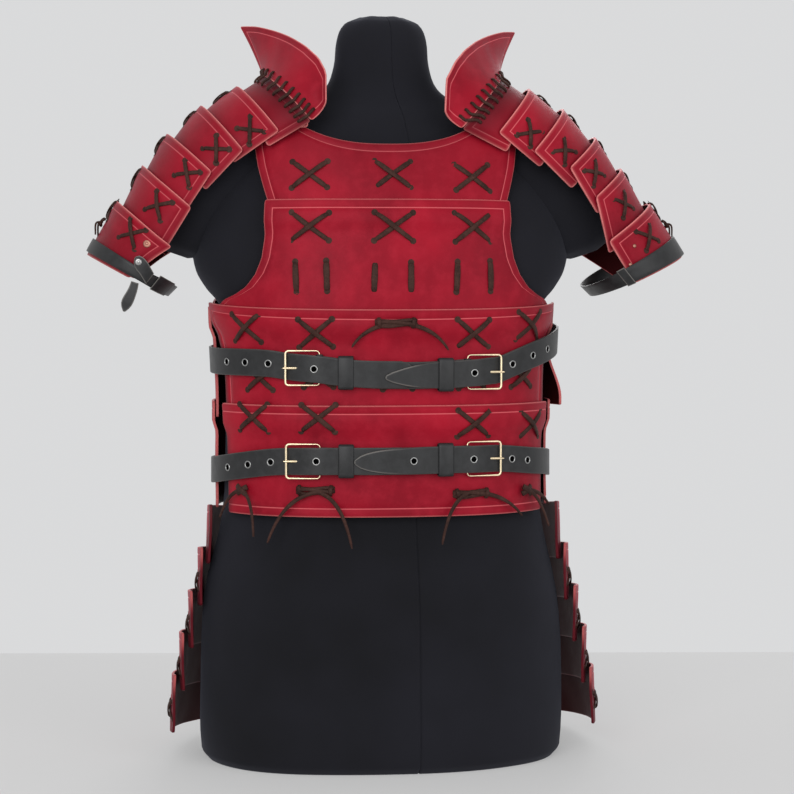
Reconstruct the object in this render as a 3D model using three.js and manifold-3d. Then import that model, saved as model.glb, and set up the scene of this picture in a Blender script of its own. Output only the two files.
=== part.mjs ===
// Samurai armour in laced leather lames, worn by a limbless dress form.
// Millimetres, +Z up, front towards -Y, origin at the middle of the form's flat base.
import * as THREE from 'three';
import { mergeVertices } from 'three/addons/utils/BufferGeometryUtils.js';
import Module from 'manifold-3d';

const wasm = await Module();
wasm.setup();

// ---- driving dimensions ----
const wall = 3.5;            // thickness of the leather lames
const strapWall = 3.2;       // thickness of belts and straps
const beltWidth = 35;
const lapStep = 5.2;         // how far a lame's top edge stands off the lame that it covers
const roundness = 2.4;       // exponent of the body's section, 2 is an ellipse
const pauldronDrift = 2;     // the pair of shoulder guards hangs this far towards +X

// section of the cuirass's inner face, from the hem to the shoulders
const bodyRows = [
  { z: 320, half: 222, front: 149, back: 144 },
  { z: 400, half: 221, front: 147, back: 142 },
  { z: 500, half: 221, front: 146, back: 142 },
  { z: 606, half: 225, front: 146, back: 146 },
  { z: 680, half: 225, front: 140, back: 146 },
  { z: 745, half: 222, front: 129, back: 136 },
  { z: 818, half: 214, front: 108, back: 113 },
  { z: 870, half: 205, front: 84, back: 88 },
];

// dress form, from the base to the neck cap
const formRows = [
  { z: 0, half: 236, front: 140, back: 146 },
  { z: 12, half: 245, front: 149, back: 155 },
  { z: 90, half: 247, front: 150, back: 158 },
  { z: 220, half: 240, front: 146, back: 152 },
  { z: 330, half: 216, front: 138, back: 137 },
  { z: 450, half: 210, front: 133, back: 131 },
  { z: 560, half: 213, front: 134, back: 133 },
  { z: 612, half: 219, front: 132, back: 136 },
  { z: 632, half: 229, front: 129, back: 135 },
  { z: 656, half: 242, front: 126, back: 133 },
  { z: 690, half: 249, front: 122, back: 129 },
  { z: 725, half: 246, front: 115, back: 121 },
  { z: 765, half: 230, front: 103, back: 108 },
  { z: 800, half: 206, front: 92, back: 97 },
  { z: 830, half: 180, front: 81, back: 85 },
  { z: 858, half: 150, front: 68, back: 71 },
  { z: 880, half: 104, front: 58, back: 64 },
  { z: 900, half: 76, front: 55, back: 59 },
  { z: 930, half: 64, front: 54, back: 58 },
  { z: 965, half: 60, front: 52, back: 56 },
  { z: 985, half: 50, front: 43, back: 47 },
  { z: 994, half: 30, front: 26, back: 28 },
];

// lames of the cuirass: wrap is the side edge's angle round from the middle, at each height
const cuirassLames = [
  { name: 'front_lame_1', face: 'front', rows: [
    { z: 722, wrap: 37.7 }, { z: 745, wrap: 40.5 }, { z: 790, wrap: 46.6 }, { z: 830, wrap: 51 },
    { z: 866, wrap: 53.6 }] },
  { name: 'front_lame_2', face: 'front', rows: [
    { z: 584, wrap: 71 }, { z: 612, wrap: 71 }, { z: 618, wrap: 66 }, { z: 624, wrap: 58 },
    { z: 634, wrap: 51 }, { z: 650, wrap: 46 }, { z: 670, wrap: 42.8 }, { z: 697, wrap: 41.3 },
    { z: 721, wrap: 41 }, { z: 745, wrap: 40.9 }] },
  { name: 'front_lame_3', face: 'front', rows: [
    { z: 460, wrap: 68 }, { z: 540, wrap: 69 }, { z: 584, wrap: 77 }, { z: 614, wrap: 85 }] },
  { name: 'front_lame_4', face: 'front', rows: [
    { z: 338, wrap: 65.5 }, { z: 430, wrap: 67 }, { z: 458, wrap: 68 }, { z: 482, wrap: 69 }] },
  { name: 'back_lame_1', face: 'back', rows: [
    { z: 722, wrap: 41 }, { z: 745, wrap: 42 }, { z: 790, wrap: 46.6 }, { z: 830, wrap: 51 },
    { z: 866, wrap: 53.6 }] },
  { name: 'back_lame_2', face: 'back', rows: [
    { z: 584, wrap: 88 }, { z: 610, wrap: 88 }, { z: 617, wrap: 80 }, { z: 626, wrap: 68 },
    { z: 640, wrap: 58 }, { z: 658, wrap: 50.5 }, { z: 680, wrap: 46 }, { z: 700, wrap: 44 },
    { z: 721, wrap: 43 }, { z: 745, wrap: 42 }] },
  { name: 'back_lame_3', face: 'back', rows: [
    { z: 460, wrap: 96 }, { z: 540, wrap: 96 }, { z: 584, wrap: 95 }, { z: 608, wrap: 94 }] },
  { name: 'back_lame_4', face: 'back', rows: [
    { z: 338, wrap: 95 }, { z: 430, wrap: 96 }, { z: 458, wrap: 96 }, { z: 482, wrap: 96 }] },
];
const frontNeck = { low: 818, rise: 27, half: 88, earTop: 866 };
const backNeck = { low: 842, rise: 10, half: 88, earTop: 866 };
const frontDip = 9;          // the waist lame's top edge is this much lower at the middle
const wing = { flare: 16, lift: 33 };  // the waist lame's +X back corner stands out and is cut higher

// shoulder guards, +X side: outer top of each upper and lower edge, with its lean and radius
const armRows = [
  { name: 'cap', upper: { x: 160, z: 914, lean: 41, radius: 77, depth: 108, reach: 96 },
    lower: { x: 197, z: 890, lean: 28, radius: 74, depth: 97, reach: 96 } },
  { name: 'arm_lame_1', upper: { x: 197, z: 902, lean: 39, radius: 76.5, depth: 106, reach: 95 },
    lower: { x: 249, z: 859, lean: 36, radius: 70, depth: 94, reach: 96 } },
  { name: 'arm_lame_2', upper: { x: 244, z: 876, lean: 40, radius: 76, depth: 102.5, reach: 95 },
    lower: { x: 293, z: 816, lean: 44, radius: 69, depth: 90.5, reach: 96 } },
  { name: 'arm_lame_3', upper: { x: 289, z: 838, lean: 47, radius: 74.5, depth: 99, reach: 93 },
    lower: { x: 330, z: 770, lean: 53, radius: 69, depth: 87, reach: 94 } },
  { name: 'arm_lame_4', upper: { x: 324, z: 796, lean: 49, radius: 80, depth: 95.5, reach: 95 },
    lower: { x: 364, z: 722, lean: 58, radius: 73, depth: 84, reach: 96 } },
  { name: 'arm_lame_5', upper: { x: 362, z: 749, lean: 52, radius: 87, depth: 92.5, reach: 98 },
    lower: { x: 406, z: 677, lean: 64, radius: 78, depth: 81, reach: 84 } },
];

// degrees added to each lame's front edge, at its upper and lower end
const frontTurns = {
  left: { cap: [0, 0], arm_lame_1: [0, 0], arm_lame_2: [0, 0], arm_lame_3: [0, 0], arm_lame_4: [0, 0],
    arm_lame_5: [0, 0] },
  right: { cap: [8, 4], arm_lame_1: [0, 3], arm_lame_2: [-1, -5], arm_lame_3: [-9, -9],
    arm_lame_4: [-17, -1], arm_lame_5: [-9, 10] },
};
const armSpread = { left: -0.1, right: 0.05 };  // the last lames are drawn out sideways by this share

// standing neck guard: offsets of its top edge from the base line, by angle round the shoulder
const guardRows = [
  { at: 96, inward: 27, back: -8, rise: 23 },
  { at: 84, inward: 38, back: 3, rise: 51 },
  { at: 70, inward: 41, back: 11, rise: 57 },
  { at: 54, inward: 38, back: 22, rise: 60 },
  { at: 38, inward: 28, back: 32, rise: 64 },
  { at: 22, inward: 13, back: 38, rise: 68 },
  { at: 8, inward: -9, back: 45, rise: 74 },
  { at: -6, inward: -32, back: 51, rise: 78 },
];
const guardTurn = { left: -7, right: 3 };  // sideways shift of each guard's standing edge
const guardDrop = { left: 0, right: 3 };   // and how much lower it stands

// hip lames: x of the front edge's outer face at the top and the bottom of each lame
const hipRows = [
  { top: 347, bottom: 268, topX: 232, bottomX: 235 },
  { top: 290, bottom: 212, topX: 245, bottomX: 246 },
  { top: 232, bottom: 155, topX: 259, bottomX: 258 },
  { top: 176, bottom: 98, topX: 271, bottomX: 270 },
  { top: 120, bottom: 42, topX: 281, bottomX: 284 },
];
const hip = { radius: 250, frontY: -58, tangent: 15, sweep: 46, turn: 5, droop: 0.12 };

// belts: points of each strap's middle line; wrap is the angle from the middle of the front,
// off is the strap's inner face above the cuirass's inner face
const belts = {
  upper: {
    left: [{ wrap: -112, z: 539, off: 6 }, { wrap: -97, z: 538, off: 6 }, { wrap: -84, z: 537.5, off: 6.5 },
      { wrap: -70, z: 537, off: 7 }, { wrap: -54, z: 537, off: 7.4 }, { wrap: -40, z: 536, off: 7.6 },
      { wrap: -31.8, z: 532.5, off: 7.5 }, { wrap: -27, z: 531, off: 11.4 }, { wrap: -22.5, z: 530, off: 14.6 },
      { wrap: -18, z: 528, off: 14.4 }, { wrap: -15, z: 526, off: 10.9 }, { wrap: -7, z: 523, off: 10.6 },
      { wrap: 1.2, z: 521.5, off: 10.6 }],
    right: [{ wrap: 112, z: 571, off: 9 }, { wrap: 99, z: 569, off: 13 }, { wrap: 90, z: 566, off: 14.5 },
      { wrap: 80, z: 561, off: 12.5 }, { wrap: 66, z: 553, off: 9 }, { wrap: 52, z: 544, off: 7.4 },
      { wrap: 42, z: 535, off: 7.6 }, { wrap: 34.7, z: 527, off: 7.3 }, { wrap: 29.5, z: 525.5, off: 11.2 },
      { wrap: 24.5, z: 524, off: 14.6 }, { wrap: 20, z: 523, off: 14.4 }, { wrap: 17.2, z: 522, off: 10.9 },
      { wrap: 8, z: 520.5, off: 10.6 }, { wrap: 3.2, z: 519.5, off: 14.2 },
      { wrap: -1.1, z: 518.5, off: 14.2 }],
    centre: [{ wrap: -19.8, z: 529 }, { wrap: -8, z: 523 }, { wrap: 0, z: 521 }, { wrap: 9, z: 521 },
      { wrap: 21.8, z: 524 }],
  },
  lower: {
    left: [{ wrap: -112, z: 385, off: 6 }, { wrap: -97, z: 387, off: 6 }, { wrap: -84, z: 390, off: 6.5 },
      { wrap: -70, z: 395, off: 7 }, { wrap: -54, z: 402, off: 7.4 }, { wrap: -40, z: 408, off: 7.6 },
      { wrap: -31.8, z: 410, off: 8 }, { wrap: -27, z: 410.5, off: 11.4 }, { wrap: -22.5, z: 411, off: 14.6 },
      { wrap: -18, z: 411, off: 14.4 }, { wrap: -15, z: 411, off: 10.9 }, { wrap: -7, z: 411, off: 10.6 },
      { wrap: 0.8, z: 411, off: 10.6 }],
    right: [{ wrap: 112, z: 391, off: 4.4 }, { wrap: 97, z: 393, off: 4.4 }, { wrap: 84, z: 396, off: 4.6 },
      { wrap: 70, z: 401, off: 5.4 }, { wrap: 54, z: 405.5, off: 7.4 }, { wrap: 42, z: 409.5, off: 7.6 },
      { wrap: 34.7, z: 411.5, off: 8 }, { wrap: 29.5, z: 412, off: 11.4 }, { wrap: 24.5, z: 412, off: 14.6 },
      { wrap: 20, z: 412, off: 14.4 }, { wrap: 17.2, z: 412, off: 10.9 }, { wrap: 8, z: 411.5, off: 10.6 },
      { wrap: 3.2, z: 411, off: 14.2 }, { wrap: -4, z: 410.5, off: 14.2 }, { wrap: -9, z: 410, off: 14.2 }],
    centre: [{ wrap: -19.8, z: 411 }, { wrap: -8, z: 410.5 }, { wrap: 0, z: 410.5 }, { wrap: 9, z: 411 },
      { wrap: 21.8, z: 412 }],
  },
};
const buckle = { height: 47, bar: 4, bend: 7, outerOff: 14.2, heelOff: 9.6, foldRadius: 4.9, slot: 8 };
const centreOff = 6.6;       // the centre straps' inner faces above the cuirass's inner face
const keeper = { width: 20, height: 39.5, low: 6.2, high: 14.3, wall: 2 };
const fastenings = [
  { word: 'upper_left', heel: -19.8, outer: -31.8, keeper: -11.4, z: 530.5, keeperZ: 524.5 },
  { word: 'upper_right', heel: 21.8, outer: 34.7, keeper: 14.2, z: 524.5, keeperZ: 521.5 },
  { word: 'lower_left', heel: -19.8, outer: -31.8, keeper: -11.4, z: 410.5, keeperZ: 411 },
  { word: 'lower_right', heel: 21.8, outer: 34.7, keeper: 14.2, z: 412, keeperZ: 411.8 },
];

// tied lace ends on the cuirass: the knot, and the tip of each of its two tails
const bows = [
  { name: 'bow_hem_1', knot: [-185, 370], tails: [[-205, 332, 13], [-163, 313, 22]] },
  { name: 'bow_hem_2', knot: [-93, 371], tails: [[-150, 305, 16], [-50, 300, 17]] },
  { name: 'bow_hem_3', knot: [102, 369], tails: [[62, 304, 17], [165, 335, 13]] },
  { name: 'bow_hem_4', knot: [178, 367], tails: [[203, 345, 13], [196, 318, 20]] },
  { name: 'bow_chest', knot: [8, 588], tails: [[-50, 557, 7], [72, 553, 7]], lift: 5 },
];
const lace = { width: 4.2, off: 6 };

// ---- small tools ----
const degrees = (d) => d * Math.PI / 180;
const power = (v, e) => Math.sign(v) * Math.abs(v) ** e;
const mix = (a, b, t) => a + (b - a) * t;
const clamp01 = (t) => Math.min(1, Math.max(0, t));
const ease = (t) => clamp01(t) ** 2 * (3 - 2 * clamp01(t));

// value of one column of a table at z, on a smooth curve through its rows
function along(rows, column, z) {
  let i = 0;
  while (i < rows.length - 2 && z > rows[i + 1].z) i += 1;
  const [a, b] = [rows[i], rows[i + 1]];
  const before = rows[Math.max(i - 1, 0)];
  const after = rows[Math.min(i + 2, rows.length - 1)];
  const span = b.z - a.z;
  const t = clamp01((z - a.z) / span);
  const startSlope = (b[column] - before[column]) / (b.z - before.z) * span;
  const endSlope = (after[column] - a[column]) / (after.z - a.z) * span;
  return (2 * t ** 3 - 3 * t ** 2 + 1) * a[column] + (t ** 3 - 2 * t ** 2 + t) * startSlope
    + (3 * t ** 2 - 2 * t ** 3) * b[column] + (t ** 3 - t ** 2) * endSlope;
}

// the same with straight lines between the rows
function straight(rows, column, z) {
  let i = 0;
  while (i < rows.length - 2 && z > rows[i + 1].z) i += 1;
  return mix(rows[i][column], rows[i + 1][column], clamp01((z - rows[i].z) / (rows[i + 1].z - rows[i].z)));
}

// point of a superellipse body at an angle from the middle of the front, moved out along the normal
function bodyPoint(rows, angle, z, off) {
  const [s, c] = [Math.sin(angle), Math.cos(angle)];
  const half = along(rows, 'half', z);
  const depthColumn = c > 0 ? 'front' : 'back';
  const depth = along(rows, depthColumn, z);
  const [px, py] = [power(s, 2 / roundness), power(c, 2 / roundness)];
  const step = 2;
  const halfSlope = (along(rows, 'half', z + step) - along(rows, 'half', z - step)) / (2 * step);
  const depthSlope = (along(rows, depthColumn, z + step) - along(rows, depthColumn, z - step)) / (2 * step);
  const normal = new THREE.Vector3(
    power(px, roundness - 1) / half,
    -power(py, roundness - 1) / depth,
    -(Math.abs(px) ** roundness) * halfSlope / half - (Math.abs(py) ** roundness) * depthSlope / depth,
  ).normalize();
  return new THREE.Vector3(half * px, -depth * py, z).addScaledVector(normal, off);
}

function solidFrom(points, faces) {
  let volume = 0;
  for (const [a, b, c] of faces) {
    volume += points[a].dot(new THREE.Vector3().crossVectors(points[b], points[c]));
  }
  const outward = volume > 0 ? faces : faces.map(([a, b, c]) => [a, c, b]);
  const geometry = new THREE.BufferGeometry();
  const numbers = points.flatMap((p) => p.toArray());
  geometry.setAttribute('position', new THREE.Float32BufferAttribute(numbers, 3));
  geometry.setIndex(outward.flat());
  return geometry;
}

// wall between an inner and an outer sheet of (across + 1) by (down + 1) points
function sheetWall(across, down, place) {
  const points = [];
  const faces = [];
  const width = across + 1;
  const layer = width * (down + 1);
  for (const side of [0, 1]) {
    for (let j = 0; j <= down; j += 1) {
      for (let i = 0; i <= across; i += 1) points.push(place(i / across, j / down, side));
    }
  }
  const quad = (a, b, c, d) => faces.push([a, b, c], [a, c, d]);
  for (let j = 0; j < down; j += 1) {
    for (let i = 0; i < across; i += 1) {
      const a = j * width + i;
      quad(a, a + 1, a + 1 + width, a + width);
      quad(layer + a, layer + a + width, layer + a + 1 + width, layer + a + 1);
    }
  }
  for (let i = 0; i < across; i += 1) {
    const top = down * width + i;
    quad(i, layer + i, layer + i + 1, i + 1);
    quad(top, top + 1, layer + top + 1, layer + top);
  }
  for (let j = 0; j < down; j += 1) {
    const [left, right] = [j * width, j * width + across];
    quad(left, left + width, layer + left + width, layer + left);
    quad(right, layer + right, layer + right + width, right + width);
  }
  return solidFrom(points, faces);
}

// closed tube whose section rings are given, joined at the ends into a loop
function loopTube(rings) {
  const sides = rings[0].length;
  const faces = [];
  rings.forEach((ring, j) => {
    for (let i = 0; i < sides; i += 1) {
      const [a, b] = [j * sides + i, j * sides + (i + 1) % sides];
      const next = ((j + 1) % rings.length) * sides;
      faces.push([a, b, next + (i + 1) % sides], [a, next + (i + 1) % sides, next + i]);
    }
  });
  return solidFrom(rings.flat(), faces);
}

// solid through section rings with closed flat ends
function loft(rings) {
  const sides = rings[0].length;
  const points = rings.flat();
  const faces = [];
  for (let j = 0; j < rings.length - 1; j += 1) {
    for (let i = 0; i < sides; i += 1) {
      const [a, b] = [j * sides + i, j * sides + (i + 1) % sides];
      faces.push([a, b, b + sides], [a, b + sides, a + sides]);
    }
  }
  for (const [j, ring] of [[0, rings[0]], [rings.length - 1, rings.at(-1)]]) {
    const middle = points.length;
    points.push(ring.reduce((sum, p) => sum.add(p), new THREE.Vector3()).divideScalar(sides));
    for (let i = 0; i < sides; i += 1) {
      const edge = [j * sides + i, j * sides + (i + 1) % sides];
      faces.push(j === 0 ? [middle, edge[1], edge[0]] : [middle, edge[0], edge[1]]);
    }
  }
  return solidFrom(points, faces);
}

function toManifold(geometry) {
  const bare = geometry.clone();
  bare.deleteAttribute('normal');
  bare.deleteAttribute('uv');
  const merged = mergeVertices(bare, 1e-4);
  return new wasm.Manifold(new wasm.Mesh({
    numProp: 3,
    vertProperties: new Float32Array(merged.attributes.position.array),
    triVerts: new Uint32Array(merged.index.array),
  }));
}

function fromManifold(solid) {
  const mesh = solid.getMesh();
  const geometry = new THREE.BufferGeometry();
  geometry.setAttribute('position', new THREE.Float32BufferAttribute(mesh.vertProperties, 3));
  geometry.setIndex([...mesh.triVerts]);
  return geometry;
}

const unite = (...geometries) => fromManifold(geometries.map(toManifold).reduce((a, b) => a.add(b)));

// ---- colours ----
const finishes = {
  redLeather: { color: 0x8c1c28, roughness: 0.5, metalness: 0 },
  blackLeather: { color: 0x2b2b2d, roughness: 0.55, metalness: 0 },
  brownLace: { color: 0x3a221c, roughness: 0.7, metalness: 0 },
  paleBrass: { color: 0xcdb48a, roughness: 0.3, metalness: 1 },
  formCloth: { color: 0x17171c, roughness: 0.95, metalness: 0 },
};
const armour = new THREE.Group();

function add(name, finish, geometry, parent = armour) {
  const mesh = new THREE.Mesh(geometry, new THREE.MeshStandardMaterial(finishes[finish]));
  mesh.name = name;
  geometry.computeVertexNormals();
  parent.add(mesh);
  return mesh;
}

// ---- cuirass ----
const lapDepth = 24;         // a lame covers the one above it by this much
const lapRun = 20;           // and comes back in over this much more

// how far the lame's inner face stands off the body, at a distance below its top edge
function lameOff(lame, below) {
  return lame.name.endsWith('_1') ? 0 : lapStep * (1 - ease((below - lapDepth) / lapRun));
}

function neckline(neck, x) {
  const away = Math.abs(x) / neck.half;
  if (away < 1) return neck.low + neck.rise * away ** 2.2;
  return mix(neck.low + neck.rise, neck.earTop, clamp01((away - 1) / 0.16));
}

function cuirassLame(lame) {
  const { rows, face } = lame;
  const [low, high] = [rows[0].z, rows.at(-1).z];
  const isTop = lame.name.endsWith('_1');
  const neck = face === 'front' ? frontNeck : backNeck;
  const across = 20;
  const heights = isTop ? [0, 0.2, 0.45, 0.7, 1] : levels(rows);
  return sheetWall(across, heights.length - 1, (u, v, side) => {
    const q = 2 * u - 1;
    const share = heights[Math.round(v * (heights.length - 1))];
    let top = high;
    if (isTop) top = neckline(neck, q * 158);
    if (lame.name === 'front_lame_3') top = high - frontDip * (1 - q * q);
    const isWing = lame.name === 'back_lame_3';
    const z = mix(isWing ? low + wing.lift * ease((q - 0.76) / 0.1) : low, top, share);
    const wrap = q * degrees(straight(rows, 'wrap', z));
    const angle = face === 'front' ? wrap : Math.PI - wrap;
    let off = lameOff(lame, top - z) + side * wall;
    if (isWing) off += wing.flare * ease((q - 0.86) / 0.14) * ease((560 - z) / 76);
    return bodyPoint(bodyRows, angle, z, off);
  });
}

// heights at which a lame needs a row of points, as shares of its height
function levels(rows) {
  const [low, high] = [rows[0].z, rows.at(-1).z];
  const bends = [lapDepth + lapRun, lapDepth + lapRun / 2, lapDepth].map((below) => high - below);
  const heights = [...rows.map((row) => row.z), ...bends].sort((a, b) => a - b);
  return heights.filter((z, i) => i === 0 || z - heights[i - 1] > 2.5).map((z) => (z - low) / (high - low));
}

for (const lame of cuirassLames) add(lame.name, 'redLeather', cuirassLame(lame));

// ---- shoulder straps, from the front top lame over the shoulder to the back ----
const shoulder = { inner: 102, outer: 146, off: wall + 1.2, heights: [838, 853, 869] };
const overShoulder = [{ y: -69, z: 880 }, { y: -36, z: 894 }, { y: 0, z: 899 }, { y: 42, z: 895 },
  { y: 74, z: 881 }];

function shoulderStrap(sign) {
  const onBody = (face) => (z) => (x, side) => {
    const turn = Math.asin((x / along(bodyRows, 'half', z)) ** (roundness / 2));
    return bodyPoint(bodyRows, face === 'front' ? turn : Math.PI - turn, z, shoulder.off + side * wall);
  };
  const overTop = ({ y, z }) => (x, side) => {
    const drop = (x - shoulder.inner) * 0.16;
    const radius = new THREE.Vector3(0, y, (z - 800) * 0.9).normalize();
    return new THREE.Vector3(x, y, z - drop).addScaledVector(radius, side * wall);
  };
  const stations = [
    ...shoulder.heights.map(onBody('front')),
    ...overShoulder.map(overTop),
    ...shoulder.heights.toReversed().map(onBody('back')),
  ];
  return sheetWall(stations.length - 1, 2, (u, v, side) => {
    const station = stations[Math.round(u * (stations.length - 1))];
    const point = station(mix(shoulder.inner, shoulder.outer, v), side);
    return new THREE.Vector3(sign * point.x, point.y, point.z);
  });
}
add('shoulder_strap_left', 'redLeather', shoulderStrap(-1));
add('shoulder_strap_right', 'redLeather', shoulderStrap(1));

// ---- shoulder guards ----
// point of an oval half-tube's edge: the angle runs from the front (+) over the top (0) to the back (-)
function edgePoint(edge, angle, off) {
  const lean = degrees(edge.lean);
  const out = new THREE.Vector3(Math.sin(lean), 0, Math.cos(lean));
  const axis = new THREE.Vector3(edge.x, 0, edge.z).addScaledVector(out, -edge.radius - wall);
  return axis.addScaledVector(out, (edge.radius + off) * Math.cos(angle)).add(
    new THREE.Vector3(0, -(edge.depth + off) * Math.sin(angle), 0));
}

// places a point of the +X pattern on the named side
function onSide(word, point) {
  const reach = Math.max(point.x - 300, 0);
  const x = point.x + armSpread[word] * reach;
  return new THREE.Vector3((word === 'left' ? -x : x) + pauldronDrift, point.y, point.z);
}

function armLame(row, word) {
  return sheetWall(12, 2, (u, v, side) => {
    const reach = mix(row.upper.reach, row.lower.reach, v);
    const front = reach + mix(...frontTurns[word][row.name], v);
    const angle = degrees(mix(front, -reach, u));
    const [high, low] = [row.upper, row.lower].map((edge) => edgePoint(edge, angle, side * wall));
    return onSide(word, high.lerp(low, v));
  });
}

// the standing guard's base follows the cap's upper edge, with a seam's gap
const seamGap = 0.5;
function neckGuard(word) {
  const cap = armRows[0];
  const lean = degrees(cap.upper.lean);
  const inwardSeam = new THREE.Vector3(-Math.cos(lean), 0, Math.sin(lean)).multiplyScalar(seamGap);
  const steps = guardRows.length - 1;
  return sheetWall(steps * 2, 3, (u, v, side) => {
    const index = Math.min(Math.floor(u * steps), steps - 1);
    const t = u * steps - index;
    const pick = (column) => mix(guardRows[index][column], guardRows[index + 1][column], t);
    const rise = new THREE.Vector3(-pick('inward'), pick('back'), pick('rise'));
    const at = pick('at') + frontTurns[word].cap[0] * clamp01((pick('at') - 70) / 26);
    const base = edgePoint(cap.upper, degrees(at), side * wall * (1 - v)).add(inwardSeam);
    const point = base.addScaledVector(rise, v);
    const outward = new THREE.Vector3(0.45, -0.85, 0.1).normalize();
    point.addScaledVector(outward, side * wall * v);
    point.addScaledVector(outward, -5 * Math.sin(Math.PI * v));
    point.z -= guardDrop[word] * v;
    const placed = onSide(word, point);
    placed.x += guardTurn[word] * v * clamp01(at / 60);
    return placed;
  });
}

for (const word of ['left', 'right']) {
  for (const row of armRows) add(`${row.name}_${word}`, 'redLeather', armLame(row, word));
  add(`neck_guard_${word}`, 'redLeather', neckGuard(word));
}

// ---- arm straps: a loop round the last lame, closed under the arm ----
const armStrap = { from: 0.64, to: 0.97, off: wall + 0.8, closeShare: 0.56 };
function armStrapPoint(angle, share, off) {
  const last = armRows.at(-1);
  const point = (edge) => {
    const flat = edgePoint(edge, angle, off);
    if (Math.cos(angle) >= 0) return flat;
    const side = edgePoint(edge, Math.sign(Math.sin(angle)) * Math.PI / 2, off);
    return new THREE.Vector3(
      mix(side.x, flat.x, armStrap.closeShare), flat.y, mix(side.z, flat.z, armStrap.closeShare));
  };
  return point(last.upper).lerp(point(last.lower), share);
}

function armStrapLoop(word) {
  const turns = 30;
  const rings = [];
  for (let i = 0; i < turns; i += 1) {
    const angle = (i / turns) * 2 * Math.PI - Math.PI;
    const corner = (share, off) => onSide(word, armStrapPoint(angle, share, off));
    const { from, to, off } = armStrap;
    const outer = off + strapWall;
    rings.push([corner(from, off), corner(to, off), corner(to, outer), corner(from, outer)]);
  }
  return loopTube(rings);
}
add('arm_strap_left', 'blackLeather', armStrapLoop('left'));
add('arm_strap_right', 'blackLeather', armStrapLoop('right'));

// loose end of the left arm strap, hanging from its loop
const looseEnd = [{ x: -327, y: -88, z: 640, half: 5 }, { x: -330, y: -89, z: 630, half: 6 },
  { x: -337, y: -89, z: 615, half: 7.5 }, { x: -340, y: -88, z: 607, half: 5 },
  { x: -341.5, y: -88, z: 602, half: 1.2 }];
add('arm_strap_end_left', 'blackLeather', sheetWall(looseEnd.length - 1, 1, (u, v, side) => {
  const row = looseEnd[Math.round(u * (looseEnd.length - 1))];
  const spread = mix(-row.half, row.half, v);
  return new THREE.Vector3(row.x + spread * 0.95, row.y - side * strapWall, row.z - spread * 0.3);
}));

// ---- hip guards ----
function hipLame(row, sign) {
  const start = degrees(hip.tangent + sign * hip.turn);
  const sweep = degrees(hip.sweep);
  return sheetWall(8, 1, (u, v, side) => {
    const heading = start - u * sweep;
    const edgeX = mix(row.topX, row.bottomX, v);
    const x = edgeX + hip.radius * (Math.cos(heading) - Math.cos(start));
    const y = hip.frontY + hip.radius * (Math.sin(start) - Math.sin(heading));
    const inset = (1 - side) * wall;
    const z = mix(row.top, row.bottom, v) - hip.droop * (y - hip.frontY);
    return new THREE.Vector3(sign * (x - inset * Math.cos(heading)), y + inset * Math.sin(heading), z);
  });
}
for (const [word, sign] of [['left', -1], ['right', 1]]) {
  hipRows.forEach((row, i) => add(`hip_lame_${i + 1}_${word}`, 'redLeather', hipLame(row, sign)));
}

// ---- belts ----
// row of a strap's table between two of its points, at a share of the whole count
function between(rows, share) {
  const place = share * (rows.length - 1);
  const indexed = rows.map((row, z) => ({ ...row, z, height: row.z }));
  return {
    angle: degrees(along(indexed, 'wrap', place)),
    z: along(indexed, 'height', place),
    off: along(indexed, 'off', place),
  };
}

const tipShares = [0.5, 0.66, 0.8, 0.9, 0.96, 1];
function sideStrap(rows, item) {
  const last = rows.length - 1;
  const shares = [];
  for (let i = 0; i < 2 * (last - 1) + 1; i += 1) shares.push(i / 2 / last);
  for (const tip of tipShares) shares.push((last - 1 + tip) / last);
  const strap = sheetWall(shares.length - 1, 1, (u, v, side) => {
    const share = shares[Math.round(u * (shares.length - 1))];
    const { angle, z, off } = between(rows, share);
    const rest = clamp01((1 - share) * last / 0.42);
    const half = beltWidth / 2 * Math.max(Math.sqrt(1 - (1 - rest) ** 2), 0.08);
    return bodyPoint(bodyRows, angle, z + mix(-half, half, v), off + side * strapWall);
  });
  const hole = rodBetween(...prongEnds(item), prong.radius + 0.7, 8);
  return fromManifold(toManifold(strap).subtract(toManifold(hole)));
}

// local axes on the cuirass: along the belt, up it, and out of it
function beltFrame(angle, z) {
  const origin = bodyPoint(bodyRows, angle, z, 0);
  const out = bodyPoint(bodyRows, angle, z, 1).sub(origin);
  const run = new THREE.Vector3(-out.y, out.x, 0).normalize();
  const up = new THREE.Vector3().crossVectors(run, out).normalize();
  return { origin, out, run, up };
}

function rodBetween(a, b, radius, sides) {
  const rod = new THREE.CylinderGeometry(radius, radius, a.distanceTo(b), sides);
  const heading = b.clone().sub(a).normalize();
  rod.applyQuaternion(new THREE.Quaternion().setFromUnitVectors(new THREE.Vector3(0, 1, 0), heading));
  return rod.translate(...a.clone().lerp(b, 0.5).toArray());
}

// the heel bar's two ends and the outer bar's two ends
function barEnds(item, angle, off, reach) {
  const middle = bodyPoint(bodyRows, degrees(angle), item.z, off);
  const up = new THREE.Vector3(0, 0, reach);
  return [middle.clone().sub(up), middle.clone().add(up)];
}

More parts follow.
